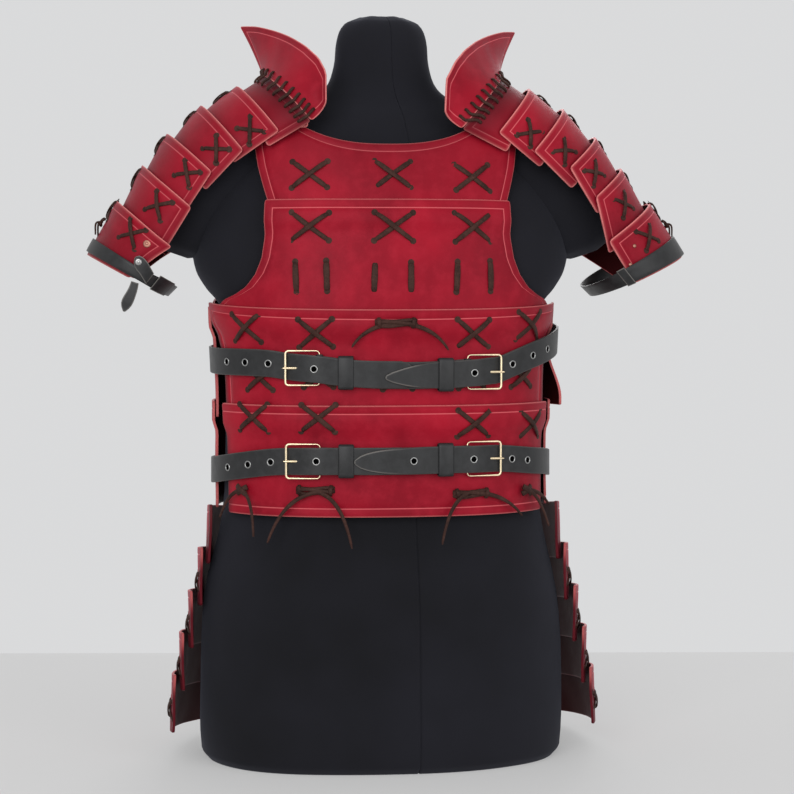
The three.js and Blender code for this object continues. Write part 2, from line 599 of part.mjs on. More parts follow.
function centreStrap(rows, ends) {
  const strap = sheetWall(12, 2, (u, v, side) => {
    const { angle, z } = between(rows.map((row) => ({ ...row, off: centreOff })), u);
    const height = z + mix(-beltWidth / 2, beltWidth / 2, v);
    return bodyPoint(bodyRows, angle, height, centreOff + side * strapWall);
  });
  let solid = toManifold(strap);
  for (const item of ends) {
    const fold = barEnds(item, item.heel, buckle.heelOff, beltWidth / 2);
    const bar = barEnds(item, item.heel, buckle.heelOff, beltWidth);
    const slot = barEnds(item, item.heel, buckle.heelOff, buckle.slot / 2);
    solid = solid.add(toManifold(rodBetween(...fold, buckle.foldRadius, 12)));
    solid = solid.subtract(toManifold(rodBetween(...bar, buckle.bar / 2 + 0.9, 10)));
    solid = solid.subtract(toManifold(rodBetween(...slot, buckle.foldRadius + 4.5, 8)));
  }
  return fromManifold(solid);
}

function buckleFrame(item) {
  const high = buckle.height / 2 - buckle.bar / 2;
  const [heelLow, heelHigh] = barEnds(item, item.heel, buckle.heelOff, high);
  const [outerLow, outerHigh] = barEnds(item, item.outer, buckle.outerOff, high);
  const corner = (from, at, to) => {
    const before = at.clone().lerp(from, buckle.bend / at.distanceTo(from));
    const after = at.clone().lerp(to, buckle.bend / at.distanceTo(to));
    return new THREE.QuadraticBezierCurve3(before, at, after).getPoints(4);
  };
  const path = [
    ...corner(heelLow, outerLow, outerHigh), ...corner(outerLow, outerHigh, heelHigh),
    ...corner(outerHigh, heelHigh, heelLow), ...corner(heelHigh, heelLow, outerLow),
  ];
  const { out } = beltFrame(degrees(item.heel), item.z);
  const rings = path.map((point, i) => {
    const next = path[(i + 1) % path.length];
    const last = path[(i + path.length - 1) % path.length];
    const heading = next.clone().sub(last).normalize();
    const across = new THREE.Vector3().crossVectors(heading, out).normalize();
    const up = new THREE.Vector3().crossVectors(across, heading).normalize();
    return [0, 1, 2, 3, 4, 5].map((k) => point.clone()
      .addScaledVector(across, buckle.bar / 2 * Math.cos(k * Math.PI / 3))
      .addScaledVector(up, buckle.bar / 2 * Math.sin(k * Math.PI / 3)));
  });
  return loopTube(rings);
}

const prong = { radius: 1.6, over: 3.4 };
// from the heel bar to just past the outer bar, on which it rests
function prongEnds(item) {
  const [heel] = barEnds(item, item.heel, buckle.heelOff, 0);
  const [outer] = barEnds(item, item.outer, buckle.outerOff + prong.over, 0);
  return [heel, outer.clone().lerp(heel, -0.06)];
}

function bucklePiece(item) {
  return unite(buckleFrame(item), rodBetween(...prongEnds(item), prong.radius, 6));
}

function keeperLoop(item) {
  const { origin, out, run, up } = beltFrame(degrees(item.keeper), item.keeperZ);
  const { width, height, low, high, wall: side } = keeper;
  const place = (at, h, o) => origin.clone().addScaledVector(run, at).addScaledVector(up, h)
    .addScaledVector(out, o);
  const solidBox = (half, from, to, length) => {
    const corners = [[-half, from], [half, from], [half, to], [-half, to]];
    return loft([-length / 2, length / 2].map((at) => corners.map(([h, o]) => place(at, h, o))));
  };
  const outer = toManifold(solidBox(height / 2 + side, low - side, high + side, width));
  const inner = toManifold(solidBox(height / 2, low, high, width + 4));
  return fromManifold(outer.subtract(inner));
}

for (const row of ['upper', 'lower']) {
  const ends = fastenings.filter((item) => item.word.startsWith(row));
  add(`belt_${row}_left`, 'blackLeather', sideStrap(belts[row].left, ends[0]));
  add(`belt_${row}_right`, 'blackLeather', sideStrap(belts[row].right, ends[1]));
  add(`belt_${row}_centre`, 'blackLeather', centreStrap(belts[row].centre, ends));
}
for (const item of fastenings) {
  add(`buckle_${item.word}`, 'paleBrass', bucklePiece(item));
  add(`keeper_${item.word}`, 'blackLeather', keeperLoop(item));
}

// ---- tied lace ends ----
function bowSolid({ knot, tails, lift = 0 }) {
  const onBody = (x, z, off) => {
    const half = along(bodyRows, 'half', z);
    const angle = Math.sign(x) * Math.asin(Math.min(1, Math.abs(x) / half) ** (roundness / 2));
    return bodyPoint(bodyRows, angle, z, wall + off);
  };
  const middle = onBody(...knot, lace.off + lift);
  const section = new THREE.Shape();
  section.absarc(0, 0, lace.width / 2, 0, 2 * Math.PI);
  const solids = tails.map(([x, z, off]) => {
    const bend = onBody(mix(knot[0], x, 0.45), mix(knot[1], z, 0.3), mix(lace.off + lift, off, 0.3));
    const line = new THREE.QuadraticBezierCurve3(middle, bend, onBody(x, z, off));
    return new THREE.ExtrudeGeometry(section, { steps: 5, curveSegments: 4, extrudePath: line });
  });
  const ball = new THREE.IcosahedronGeometry(4.6, 1).translate(...middle.toArray());
  return unite(ball, ...solids);
}
for (const bow of bows) add(bow.name, 'brownLace', bowSolid(bow));

// ---- dress form ----
const stub = [{ x: 110, z: 836, r: 60 }, { x: 150, z: 829, r: 62 }, { x: 189, z: 808, r: 62 },
  { x: 226, z: 776, r: 61 }, { x: 252, z: 740, r: 58 }, { x: 264, z: 714, r: 50 },
  { x: 270, z: 698, r: 38 }, { x: 274, z: 687, r: 18 }];
function formStub(sign) {
  return loft(stub.map((row, i) => {
    const [a, b] = [stub[Math.max(i - 1, 0)], stub[Math.min(i + 1, stub.length - 1)]];
    const heading = new THREE.Vector3(b.x - a.x, 0, b.z - a.z).normalize();
    const across = new THREE.Vector3(-heading.z, 0, heading.x);
    return [...Array(16).keys()].map((k) => {
      const turn = k / 16 * 2 * Math.PI;
      const side = across.clone().multiplyScalar(row.r * Math.cos(turn));
      return new THREE.Vector3(sign * (row.x + side.x), row.r * Math.sin(turn), row.z + side.z);
    });
  }));
}

const formSides = 30;
const torso = loft(formRows.map((row) => [...Array(formSides).keys()].map(
  (k) => bodyPoint(formRows, k / formSides * 2 * Math.PI, row.z, 0))));
add('dress_form', 'formCloth', unite(torso, formStub(-1), formStub(1)));

export default armour;
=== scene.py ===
import math
import random
from types import SimpleNamespace

import bmesh
import bpy
import numpy as np
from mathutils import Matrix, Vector


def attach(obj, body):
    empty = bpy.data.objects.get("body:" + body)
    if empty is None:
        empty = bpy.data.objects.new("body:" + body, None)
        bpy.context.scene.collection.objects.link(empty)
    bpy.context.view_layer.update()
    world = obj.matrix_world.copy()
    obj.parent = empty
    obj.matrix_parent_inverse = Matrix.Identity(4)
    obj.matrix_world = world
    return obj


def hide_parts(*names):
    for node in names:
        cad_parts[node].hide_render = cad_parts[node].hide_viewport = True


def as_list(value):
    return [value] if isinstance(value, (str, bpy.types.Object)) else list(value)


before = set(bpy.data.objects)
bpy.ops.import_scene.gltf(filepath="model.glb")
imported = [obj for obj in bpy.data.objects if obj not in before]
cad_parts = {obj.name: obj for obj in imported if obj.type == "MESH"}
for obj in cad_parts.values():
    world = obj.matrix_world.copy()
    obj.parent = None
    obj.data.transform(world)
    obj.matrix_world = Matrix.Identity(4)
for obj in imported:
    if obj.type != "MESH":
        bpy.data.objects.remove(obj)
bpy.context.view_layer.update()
print("frame loaded:", len(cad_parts), "nodes")

# millimetres in every table below, metres once a mesh is made
metre = 0.001
wall = 3.5          # thickness of the lames
strapWall = 3.2     # thickness of belts and straps
beltWidth = 35.0
lapStep = 5.2       # how far a lame stands out where it laps over the next one
lapDepth = 24.0     # how far down from its top edge it stands out in full
lapRun = 20.0       # and the run over which it comes back in
roundness = 2.4     # 2 is an oval section, more is squarer

cameraLook = {
    "distance": 2.6,     # from the armour's upright axis
    "swing": 5.0,        # degrees towards the wearer's right
    "eyeHeight": 0.63,
    "lens": 86.8,
    "pitch": 3.2,        # degrees down
    "yaw": 0.48,
}


def makeCamera():
    swing = math.radians(cameraLook["swing"])
    ahead = Vector((math.sin(swing), math.cos(swing), 0))
    right = Vector((math.cos(swing), -math.sin(swing), 0))
    aim = ahead + right * math.tan(math.radians(cameraLook["yaw"]))
    aim.z = -math.tan(math.radians(cameraLook["pitch"]))
    data = bpy.data.cameras.new("camera")
    data.lens = cameraLook["lens"]
    data.sensor_width = 36
    camera = bpy.data.objects.new("camera", data)
    camera.location = -ahead * cameraLook["distance"] + Vector((0, 0, cameraLook["eyeHeight"]))
    camera.rotation_euler = aim.to_track_quat("-Z", "Y").to_euler()
    bpy.context.scene.collection.objects.link(camera)
    bpy.context.scene.camera = camera


makeCamera()

# section of the cuirass's inner face, from the hem to the shoulders
bodyRows = {
    "z": [320, 400, 500, 606, 680, 745, 818, 870],
    "half": [222, 221, 221, 225, 225, 222, 214, 205],
    "front": [149, 147, 146, 146, 140, 129, 108, 84],
    "back": [144, 142, 142, 146, 146, 136, 113, 88],
}
# section of the dress form, from its base to the top of its neck
formRows = {
    "z": [0, 12, 90, 220, 330, 450, 560, 612, 632, 656, 690,
          725, 765, 800, 830, 858, 880, 900, 930, 965, 985, 994],
    "half": [236, 245, 247, 240, 216, 210, 213, 219, 235, 249, 254,
             246, 230, 206, 180, 150, 104, 76, 64, 60, 50, 30],
    "front": [140, 149, 150, 146, 138, 133, 134, 132, 129, 126, 122,
              115, 103, 92, 81, 68, 58, 55, 54, 52, 43, 26],
    "back": [146, 155, 158, 152, 137, 131, 133, 136, 135, 133, 129,
             121, 108, 97, 85, 71, 64, 59, 58, 56, 47, 28],
}


def clamp01(t):
    return np.clip(t, 0.0, 1.0)


def ease(t):
    t = clamp01(t)
    return t * t * (3 - 2 * t)


def mix(a, b, t):
    return a + (b - a) * t


def signedPower(value, exponent):
    return np.sign(value) * np.abs(value) ** exponent


def unit(a):
    return a / np.maximum(np.linalg.norm(a, axis=-1, keepdims=True), 1e-9)


# numbers and arrays brought to one common shape
def spreadOut(*values):
    return np.broadcast_arrays(*(np.asarray(value, float) for value in values))


# angles once round, the first not repeated
def fullTurn(count):
    return np.linspace(0, 2 * np.pi, count + 1)[:-1]


# smooth curve through a table's rows
def along(rows, column, z, key="z"):
    zs, vs = np.array(rows[key], float), np.array(rows[column], float)
    z = np.asarray(z, float)
    i = np.clip(np.searchsorted(zs, z, side="left") - 1, 0, len(zs) - 2)
    before, after = np.maximum(i - 1, 0), np.minimum(i + 2, len(zs) - 1)
    span = zs[i + 1] - zs[i]
    t = clamp01((z - zs[i]) / span)
    start = (vs[i + 1] - vs[before]) / (zs[i + 1] - zs[before]) * span
    end = (vs[after] - vs[i]) / (zs[after] - zs[i]) * span
    return ((2 * t ** 3 - 3 * t ** 2 + 1) * vs[i] + (t ** 3 - 2 * t ** 2 + t) * start
            + (3 * t ** 2 - 2 * t ** 3) * vs[i + 1] + (t ** 3 - t ** 2) * end)


# point of the body's surface, moved out along its normal; angle 0 is the middle of the front
def bodyPoint(rows, angle, z, off):
    angle, z, off = spreadOut(angle, z, off)
    s, c = np.sin(angle), np.cos(angle)

    def sizes(at):
        return along(rows, "half", at), np.where(c > 0, along(rows, "front", at), along(rows, "back", at))

    half, depth = sizes(z)
    (halfUp, depthUp), (halfDown, depthDown) = sizes(z + 2), sizes(z - 2)
    px, py = signedPower(s, 2 / roundness), signedPower(c, 2 / roundness)
    normal = np.stack([
        signedPower(px, roundness - 1) / half,
        -signedPower(py, roundness - 1) / depth,
        -(np.abs(px) ** roundness) * (halfUp - halfDown) / 4 / half
        - (np.abs(py) ** roundness) * (depthUp - depthDown) / 4 / depth], -1)
    normal /= np.linalg.norm(normal, axis=-1, keepdims=True)
    return np.stack([half * px, -depth * py, z], -1) + normal * off[..., None]


# angle round the body of a point of the front, and that point moved out from the leather's inner face
def frontAngle(x, z):
    share = np.minimum(1, np.abs(x) / along(bodyRows, "half", z))
    return np.sign(x) * np.arcsin(share ** (roundness / 2))


def onFront(x, z, off):
    return bodyPoint(bodyRows, frontAngle(x, z), z, wall + off)


# outlines of the cuirass's lames: wrap is the side edge's angle at each height, in degrees from the middle
cuirassLames = {
    "front_lame_1": {"z": [722, 745, 790, 830, 866], "wrap": [37.7, 40.5, 46.6, 51, 53.6]},
    "front_lame_2": {"z": [584, 612, 618, 624, 634, 650, 670, 697, 721, 745],
                     "wrap": [71, 71, 66, 58, 51, 46, 42.8, 41.3, 41, 40.9]},
    "front_lame_3": {"z": [460, 540, 584, 614], "wrap": [68, 69, 77, 85]},
    "front_lame_4": {"z": [338, 430, 458, 482], "wrap": [65.5, 67, 68, 69]},
    "back_lame_1": {"z": [722, 745, 790, 830, 866], "wrap": [41, 42, 46.6, 51, 53.6]},
    "back_lame_2": {"z": [584, 610, 617, 626, 640, 658, 680, 700, 721, 745],
                    "wrap": [88, 88, 80, 68, 58, 50.5, 46, 44, 43, 42]},
    "back_lame_3": {"z": [460, 540, 584, 608], "wrap": [96, 96, 95, 94]},
    "back_lame_4": {"z": [338, 430, 458, 482], "wrap": [95, 96, 96, 96]},
}
frontNeck = {"low": 818, "rise": 27, "half": 88, "earTop": 866}
backNeck = {"low": 842, "rise": 10, "half": 88, "earTop": 866}
neckHalf = 158          # where the top edge meets the shoulder straps
frontDip = 9            # the waist lame's top edge is this much lower at the middle
wing = {"lame": "back_lame_3", "flare": 21, "lift": 14}     # its left-hand back corner stands out


def neckline(neck, x):
    away = np.abs(x) / neck["half"]
    return np.where(away < 1, neck["low"] + neck["rise"] * np.minimum(away, 1) ** 2.2,
                    mix(neck["low"] + neck["rise"], neck["earTop"], clamp01((away - 1) / 0.16)))


def lameTop(name, q):
    if name.endswith("_1"):
        return neckline(frontNeck if name.startswith("front") else backNeck, q * neckHalf)
    if name == "front_lame_3":
        return cuirassLames[name]["z"][-1] - frontDip * (1 - q * q)
    return np.full_like(q, cuirassLames[name]["z"][-1], dtype=float)


def lameOff(name, below):
    return 0 * below if name.endswith("_1") else lapStep * (1 - ease((below - lapDepth) / lapRun))


# place(u, v, h): u runs across a panel, v up it, h is the height above its inner face
def cuirassPlace(name):
    rows = cuirassLames[name]
    low = rows["z"][0]

    def place(u, v, h):
        q = 2 * np.asarray(u, float) - 1
        top = lameTop(name, q)
        isWing = name == wing["lame"]
        bottom = low + (wing["lift"] * ease((q - 0.76) / 0.1) if isWing else 0)
        z = mix(bottom, top, v)
        wrap = q * np.radians(np.interp(z, rows["z"], rows["wrap"]))
        angle = wrap if name.startswith("front") else np.pi - wrap
        off = lameOff(name, top - z) + h
        if isWing:
            off = off + wing["flare"] * ease((q - 0.86) / 0.14) * ease((560 - z) / 76)
        return bodyPoint(bodyRows, angle, z, off)

    return place


# upper and lower edges of the shoulder guards' lames
edgeColumns = ("x", "z", "lean", "radius", "depth", "reach")
armRows = {
    "cap": {"upper": (160, 914, 41, 77, 108, 96), "lower": (197, 890, 28, 74, 97, 96)},
    "arm_lame_1": {"upper": (197, 902, 39, 76.5, 106, 95), "lower": (249, 859, 36, 70, 94, 96)},
    "arm_lame_2": {"upper": (244, 876, 40, 76, 102.5, 95), "lower": (293, 816, 44, 69, 90.5, 96)},
    "arm_lame_3": {"upper": (289, 838, 47, 74.5, 99, 93), "lower": (330, 770, 53, 69, 87, 94)},
    "arm_lame_4": {"upper": (324, 796, 49, 80, 95.5, 95), "lower": (364, 722, 58, 73, 84, 96)},
    "arm_lame_5": {"upper": (362, 749, 52, 87, 92.5, 98), "lower": (406, 677, 64, 78, 81, 84)},
}
armRows = {name: {edge: dict(zip(edgeColumns, values)) for edge, values in row.items()}
           for name, row in armRows.items()}
frontTurns = {
    "left": {name: (0, 0) for name in armRows},
    "right": {"cap": (8, 4), "arm_lame_1": (0, 3), "arm_lame_2": (-1, -5), "arm_lame_3": (-9, -9),
              "arm_lame_4": (-17, -1), "arm_lame_5": (-9, 10)},
}
armSpread = {"left": -0.1, "right": 0.05}
pauldronDrift = 2.0
guardRows = {
    "at": [96, 84, 70, 54, 38, 22, 8, -6],
    "inward": [27, 38, 41, 38, 28, 13, -9, -32],
    "back": [-8, 3, 11, 22, 32, 38, 45, 51],
    "rise": [23, 51, 57, 60, 64, 68, 74, 78],
}
guardTurn = {"left": -7, "right": 3}
guardDrop = {"left": 0, "right": 3}
guardBow = 5            # how far the guard's middle is hollowed
seamGap = 0.5


def edgePoint(edge, angle, off):
    lean = math.radians(edge["lean"])
    out = np.array([math.sin(lean), 0, math.cos(lean)])
    angle, off = spreadOut(angle, off)
    axis = np.array([edge["x"], 0, edge["z"]]) - out * (edge["radius"] + wall)
    arc = ((edge["radius"] + off) * np.cos(angle))[..., None] * out
    side = np.zeros(angle.shape + (3,))
    side[..., 1] = -(edge["depth"] + off) * np.sin(angle)
    return axis + arc + side


def onSide(word, point):
    reach = np.maximum(point[..., 0] - 300, 0)
    x = point[..., 0] + armSpread[word] * reach
    point = point.copy()
    point[..., 0] = (-x if word == "left" else x) + pauldronDrift
    return point


# u runs from the front edge over the top to the back one, v from the upper edge to the lower
def armPlace(name, word):
    row = armRows[name]

    def place(u, v, h):
        u, v, h = spreadOut(u, v, h)
        reach = mix(row["upper"]["reach"], row["lower"]["reach"], v)
        front = reach + mix(*frontTurns[word][name], v)
        angle = np.radians(mix(front, -reach, u))
        a, b = edgePoint(row["upper"], angle, h), edgePoint(row["lower"], angle, h)
        return onSide(word, a + (b - a) * v[..., None])

    return place


# v runs from the base up to the standing edge
def guardPlace(word):
    cap = armRows["cap"]["upper"]
    lean = math.radians(cap["lean"])
    inwardSeam = np.array([-math.cos(lean), 0, math.sin(lean)]) * seamGap
    outward = unit(np.array([0.45, -0.85, 0.1]))
    count = len(guardRows["at"]) - 1

    def place(u, v, h):
        u, v, h = spreadOut(u, v, h)
        pick = {k: np.interp(u * count, range(count + 1), guardRows[k]) for k in guardRows}
        at = pick["at"] + frontTurns[word]["cap"][0] * clamp01((pick["at"] - 70) / 26)
        base = edgePoint(cap, np.radians(at), h * (1 - v)) + inwardSeam
        rise = np.stack([-pick["inward"], pick["back"], pick["rise"]], -1)
        point = base + rise * v[..., None]
        point = point + outward * (h * v - guardBow * np.sin(np.pi * v))[..., None]
        point[..., 2] -= guardDrop[word] * v
        placed = onSide(word, point)
        placed[..., 0] += guardTurn[word] * v * clamp01(at / 60)
        return placed

    return place


# heights and outward places of the hip lames' edges
hipRows = [
    {"top": 347, "bottom": 268, "topX": 232, "bottomX": 235},
    {"top": 290, "bottom": 212, "topX": 245, "bottomX": 246},
    {"top": 232, "bottom": 155, "topX": 259, "bottomX": 258},
    {"top": 176, "bottom": 98, "topX": 271, "bottomX": 270},
    {"top": 120, "bottom": 42, "topX": 281, "bottomX": 284},
]
hip = {"radius": 250, "frontY": -58, "tangent": 15, "sweep": 46, "turn": 5, "droop": 0.12}


# u runs from the front edge back, v from the top edge down
def hipPlace(index, word):
    row, sign = hipRows[index], -1 if word == "left" else 1
    start, sweep = math.radians(hip["tangent"] + sign * hip["turn"]), math.radians(hip["sweep"])

    def place(u, v, h):
        u, v, h = spreadOut(u, v, h)
        heading = start - u * sweep
        x = mix(row["topX"], row["bottomX"], v) + hip["radius"] * (np.cos(heading) - math.cos(start))
        y = hip["frontY"] + hip["radius"] * (math.sin(start) - np.sin(heading))
        inset = wall - h
        z = mix(row["top"], row["bottom"], v) - hip["droop"] * (y - hip["frontY"])
        return np.stack([sign * (x - inset * np.cos(heading)), y + inset * np.sin(heading), z], -1)

    return place


# points of each strap's middle line: wrap is the angle from the middle of the front
belts = {
    "upper_left": {"wrap": [-112, -97, -84, -70, -54, -40, -31.8, -27, -22.5, -18, -15, -7, 5],
                   "height": [539, 538, 537.5, 537, 537, 536, 532.5, 531, 530, 528, 526, 523, 521.5],
                   "off": [6, 6, 6.5, 7, 7.4, 7.6, 7.5, 11.4, 14.6, 14.4, 10.9, 10.6, 10.3]},
    "upper_right": {"wrap": [112, 99, 90, 80, 66, 52, 42, 34.7, 29.5, 24.5, 20, 17.2, 8, 3.2, -1.1],
                    "height": [571, 569, 566, 561, 553, 544, 535, 527, 525.5, 524, 523, 522, 520.5, 519.5, 518.5],
                    "off": [9, 13, 14.5, 12.5, 9, 7.4, 7.6, 7.3, 11.2, 14.6, 14.4, 10.9, 10.6, 14.2, 14.2]},
    "upper_centre": {"wrap": [-19.8, -8, 0, 9, 21.8], "height": [529, 523, 521, 521, 524]},
    "lower_left": {"wrap": [-112, -97, -84, -70, -54, -40, -31.8, -27, -22.5, -18, -15, -7, 5],
                   "height": [385, 387, 390, 395, 402, 408, 410, 410.5, 411, 411, 411, 411, 411],
                   "off": [6, 6, 6.5, 7, 7.4, 7.6, 8, 11.4, 14.6, 14.4, 10.9, 10.6, 10.3]},
    "lower_right": {"wrap": [112, 97, 84, 70, 54, 42, 34.7, 29.5, 24.5, 20, 17.2, 8, 3.2, -4, -9],
                    "height": [391, 393, 396, 401, 405.5, 409.5, 411.5, 412, 412, 412, 412, 411.5, 411, 410.5, 410],
                    "off": [4.4, 4.4, 4.6, 5.4, 7.4, 7.6, 8, 11.4, 14.6, 14.4, 10.9, 10.6, 14.2, 14.2, 14.2]},
    "lower_centre": {"wrap": [-19.8, -8, 0, 9, 21.8], "height": [411, 410.5, 410.5, 411, 412]},
}
centreOff = 6.6
tipLength = {"left": 9, "right": 46, "centre": 1}       # run over which a strap's end is rounded
fastenings = {
    "upper_left": {"heel": -19.8, "outer": -31.8, "keeper": -11.4, "z": 530.5, "keeperZ": 524.5},
    "upper_right": {"heel": 21.8, "outer": 34.7, "keeper": 14.2, "z": 524.5, "keeperZ": 521.5},
    "lower_left": {"heel": -19.8, "outer": -31.8, "keeper": -11.4, "z": 410.5, "keeperZ": 411},
    "lower_right": {"heel": 21.8, "outer": 34.7, "keeper": 14.2, "z": 412, "keeperZ": 411.8},
}


# share of a strap's half width at a share of the run to its rounded end
def roundedEnd(rest):
    return np.maximum(np.sqrt(1 - (1 - rest) ** 2), 0.02)


# u runs along the strap to its tip, v up its width
def beltPlace(name):
    rows = dict(belts[name])
    last = len(rows["wrap"]) - 1
    rows["z"] = list(range(last + 1))
    kind = name.split("_")[1]
    if kind == "centre":
        rows["off"] = [centreOff] * (last + 1)

    def place(u, v, h):
        u, v, h = spreadOut(u, v, h)
        angle = np.radians(along(rows, "wrap", u * last))
        z, off = along(rows, "height", u * last), along(rows, "off", u * last)
        rest = clamp01(np.abs(np.degrees(angle) - rows["wrap"][-1]) * 2.9 / tipLength[kind])
        half = beltWidth / 2 * (1 if kind == "centre" else roundedEnd(rest))
        return bodyPoint(bodyRows, angle, z + (2 * v - 1) * half, off + h)

    return place


# the shader nodes that every finish is made with
def nodeTree(name):
    material = bpy.data.materials.new(name)
    material.use_nodes = True
    nodes, links = material.node_tree.nodes, material.node_tree.links
    shader = nodes["Principled BSDF"]
    place = nodes.new("ShaderNodeTexCoord").outputs["Object"]

    def add(kind, inputs=None, **settings):
        node = nodes.new("ShaderNode" + kind)
        for key, value in settings.items():
            setattr(node, key, value)
        for key, value in (inputs or {}).items():
            if isinstance(value, bpy.types.NodeSocket):
                links.new(value, node.inputs[key])
            else:
                node.inputs[key].default_value = value
        return node

    def noise(scale, detail, roughness, distortion=0.0):
        return add("TexNoise", {"Vector": place, "Scale": scale, "Detail": detail, "Roughness": roughness,
                                "Distortion": distortion}).outputs["Fac"]

    def pores(scale):
        return add("TexVoronoi", {"Vector": place, "Scale": scale}, feature="SMOOTH_F1").outputs["Distance"]

    def threads(direction):
        return add("TexWave", {"Vector": place, "Scale": 330, "Distortion": 0.6, "Detail": 1.0},
                   wave_type="BANDS", bands_direction=direction).outputs["Fac"]

    def ramp(value, *stops):
        node = add("ValToRGB", {"Fac": value})
        while len(node.color_ramp.elements) < len(stops):
            node.color_ramp.elements.new(0.5)
        for element, (at, colour) in zip(node.color_ramp.elements, stops):
            element.position = at
            element.color = (*colour, 1) if isinstance(colour, tuple) else (colour, colour, colour, 1)
        return node.outputs["Color"]

    def blend(factor, a, b):
        node = nodes.new("ShaderNodeMix")
        node.data_type, node.clamp_factor = "RGBA", True
        for socket, value in ((node.inputs[0], factor), (node.inputs[6], a), (node.inputs[7], b)):
            if isinstance(value, bpy.types.NodeSocket):
                links.new(value, socket)
            else:
                socket.default_value = (*value, 1) if isinstance(value, tuple) else value
        return node.outputs[2]

    def sums(operation, a, b=0.0, c=0.0):
        return add("Math", {0: a, 1: b, 2: c}, operation=operation).outputs[0]

    def link(value, name):
        links.new(value, shader.inputs[name])

    def painted(attribute):
        return add("Attribute", attribute_name=attribute).outputs["Fac"]

    def finish(values, colour=None, roughness=None, bumps=()):
        for key, value in values.items():
            shader.inputs[key].default_value = value
        if colour is not None:
            links.new(colour, shader.inputs["Base Color"])
        if roughness is not None:
            links.new(roughness, shader.inputs["Roughness"])
        normal = None
        for height, strength, distance in bumps:
            node = add("Bump", {"Height": height, "Strength": strength, "Distance": distance})
            if normal is not None:
                links.new(normal, node.inputs["Normal"])
            normal = node.outputs[0]
        if normal is not None:
            links.new(normal, shader.inputs["Normal"])
        return material

    return SimpleNamespace(noise=noise, pores=pores, threads=threads, ramp=ramp, blend=blend, sums=sums,
                           painted=painted, link=link, finish=finish)


redLook = {
    "deep": (0.16, 0.0022, 0.0085),
    "body": (0.315, 0.0045, 0.0165),
    "light": (0.40, 0.017, 0.034),
    "line": (0.66, 0.135, 0.15),     # tooled line
    "rim": (0.78, 0.27, 0.25),       # raw cut edge, lightened past its own colour as a painted highlight
    # the lames' inner faces: the back of the leather, painted dark as shade
    "inside": (0.030, 0.0036, 0.0040),
    "shade": (0.045, 0.0035, 0.006),
    "sheen": 0.16,
    "grain": 620,                    # pores to the metre
    "roughness": (0.42, 0.56),
}


def redLeather():
    t = nodeTree("red_leather")
    cloud = t.noise(7, 3, 0.6)
    mottle = t.noise(55, 5, 0.65)
    base = t.blend(t.ramp(cloud, (0.32, 0.0), (0.7, 1.0)), redLook["deep"], redLook["body"])
    base = t.blend(t.ramp(mottle, (0.45, 0.0), (0.85, 0.45)), base, redLook["light"])
    base = t.blend(t.painted("burnish"), base, redLook["deep"])
    base = t.blend(t.painted("tooled"), base, redLook["line"])
    # the pale cut edge, flecked, carries a painted highlight as well as its own colour
    fleck = t.ramp(t.noise(900, 2, 0.5), (0.3, 0.55), (0.75, 1.0))
    rim = t.blend(fleck, redLook["body"], redLook["rim"])
    base = t.blend(t.painted("rim"), base, rim)
    base = t.blend(t.painted("shade"), base, redLook["shade"])
    # painted shade on the inner faces, with less reflection there; sheen drops wherever shade is painted
    inside = t.painted("inside")
    base = t.blend(inside, base, redLook["inside"])
    t.link(t.sums("MULTIPLY_ADD", inside, -0.26, 0.32), "Specular IOR Level")
    hidden = t.sums("MAXIMUM", inside, t.painted("shade"))
    t.link(t.sums("MULTIPLY_ADD", hidden, -0.9 * redLook["sheen"], redLook["sheen"]), "Sheen Weight")
    pebble = t.ramp(t.pores(redLook["grain"]), (0.05, 0.0), (0.55, 1.0))
    creases = t.noise(210, 6, 0.62, 0.6)
    low, high = redLook["roughness"]
    rough = t.ramp(t.blend(0.5, mottle, creases), (0.3, low), (0.7, high))
    fixed = {"Specular Tint": (1.0, 0.42, 0.5, 1), "Sheen Roughness": 0.45, "Sheen Tint": (1.0, 0.28, 0.38, 1),
             "IOR": 1.4}
    return t.finish(fixed, base, rough, [(creases, 0.16, 0.0006), (pebble, 0.12, 0.00022)])


blackLook = {
    "body": (0.0105, 0.0108, 0.0115),
    "worn": (0.03, 0.031, 0.033),
    "rim": (0.21, 0.195, 0.18),
    "grain": 900,
}


def blackLeather():
    t = nodeTree("black_leather")
    mottle = t.noise(90, 5, 0.6)
    base = t.blend(t.ramp(mottle, (0.4, 0.0), (0.9, 0.7)), blackLook["body"], blackLook["worn"])
    base = t.blend(t.painted("tooled"), base, blackLook["rim"])
    base = t.blend(t.sums("MULTIPLY", t.painted("rim"), 0.7), base, blackLook["rim"])
    rough = t.ramp(mottle, (0.3, 0.38), (0.75, 0.52))
    creases = t.noise(260, 5, 0.6)
    return t.finish({"Specular IOR Level": 0.36, "Sheen Weight": 0.02, "Sheen Roughness": 0.4},
                    base, rough, [(creases, 0.15, 0.0005), (t.pores(blackLook["grain"]), 0.15, 0.0002)])


laceLook = {"dark": (0.0165, 0.0068, 0.0056), "body": (0.050, 0.0210, 0.0165), "worn": (0.105, 0.052, 0.041)}


def laceLeather():
    t = nodeTree("brown_lace")
    streak = t.noise(420, 4, 0.6)
    base = t.blend(t.ramp(t.noise(60, 4, 0.6), (0.35, 0.0), (0.75, 1.0)), laceLook["dark"], laceLook["body"])
    base = t.blend(t.ramp(streak, (0.5, 0.0), (0.8, 0.5)), base, laceLook["worn"])
    rough = t.ramp(streak, (0.3, 0.5), (0.7, 0.72))
    return t.finish({"Specular IOR Level": 0.2, "Specular Tint": (1.0, 0.75, 0.65, 1)},
                    base, rough, [(streak, 0.35, 0.0006)])


def plainMetal(name, colour, roughness):
    t = nodeTree(name)
    wear = t.noise(300, 4, 0.6)
    dark = tuple(0.72 * c for c in colour)
    base = t.blend(t.ramp(wear, (0.45, 0.0), (0.8, 1.0)), colour, dark)
    return t.finish({"Metallic": 1.0}, base, t.ramp(wear, (0.3, roughness), (0.8, roughness + 0.12)),
                    [(t.noise(500, 2, 0.5), 0.03, 0.0001)])
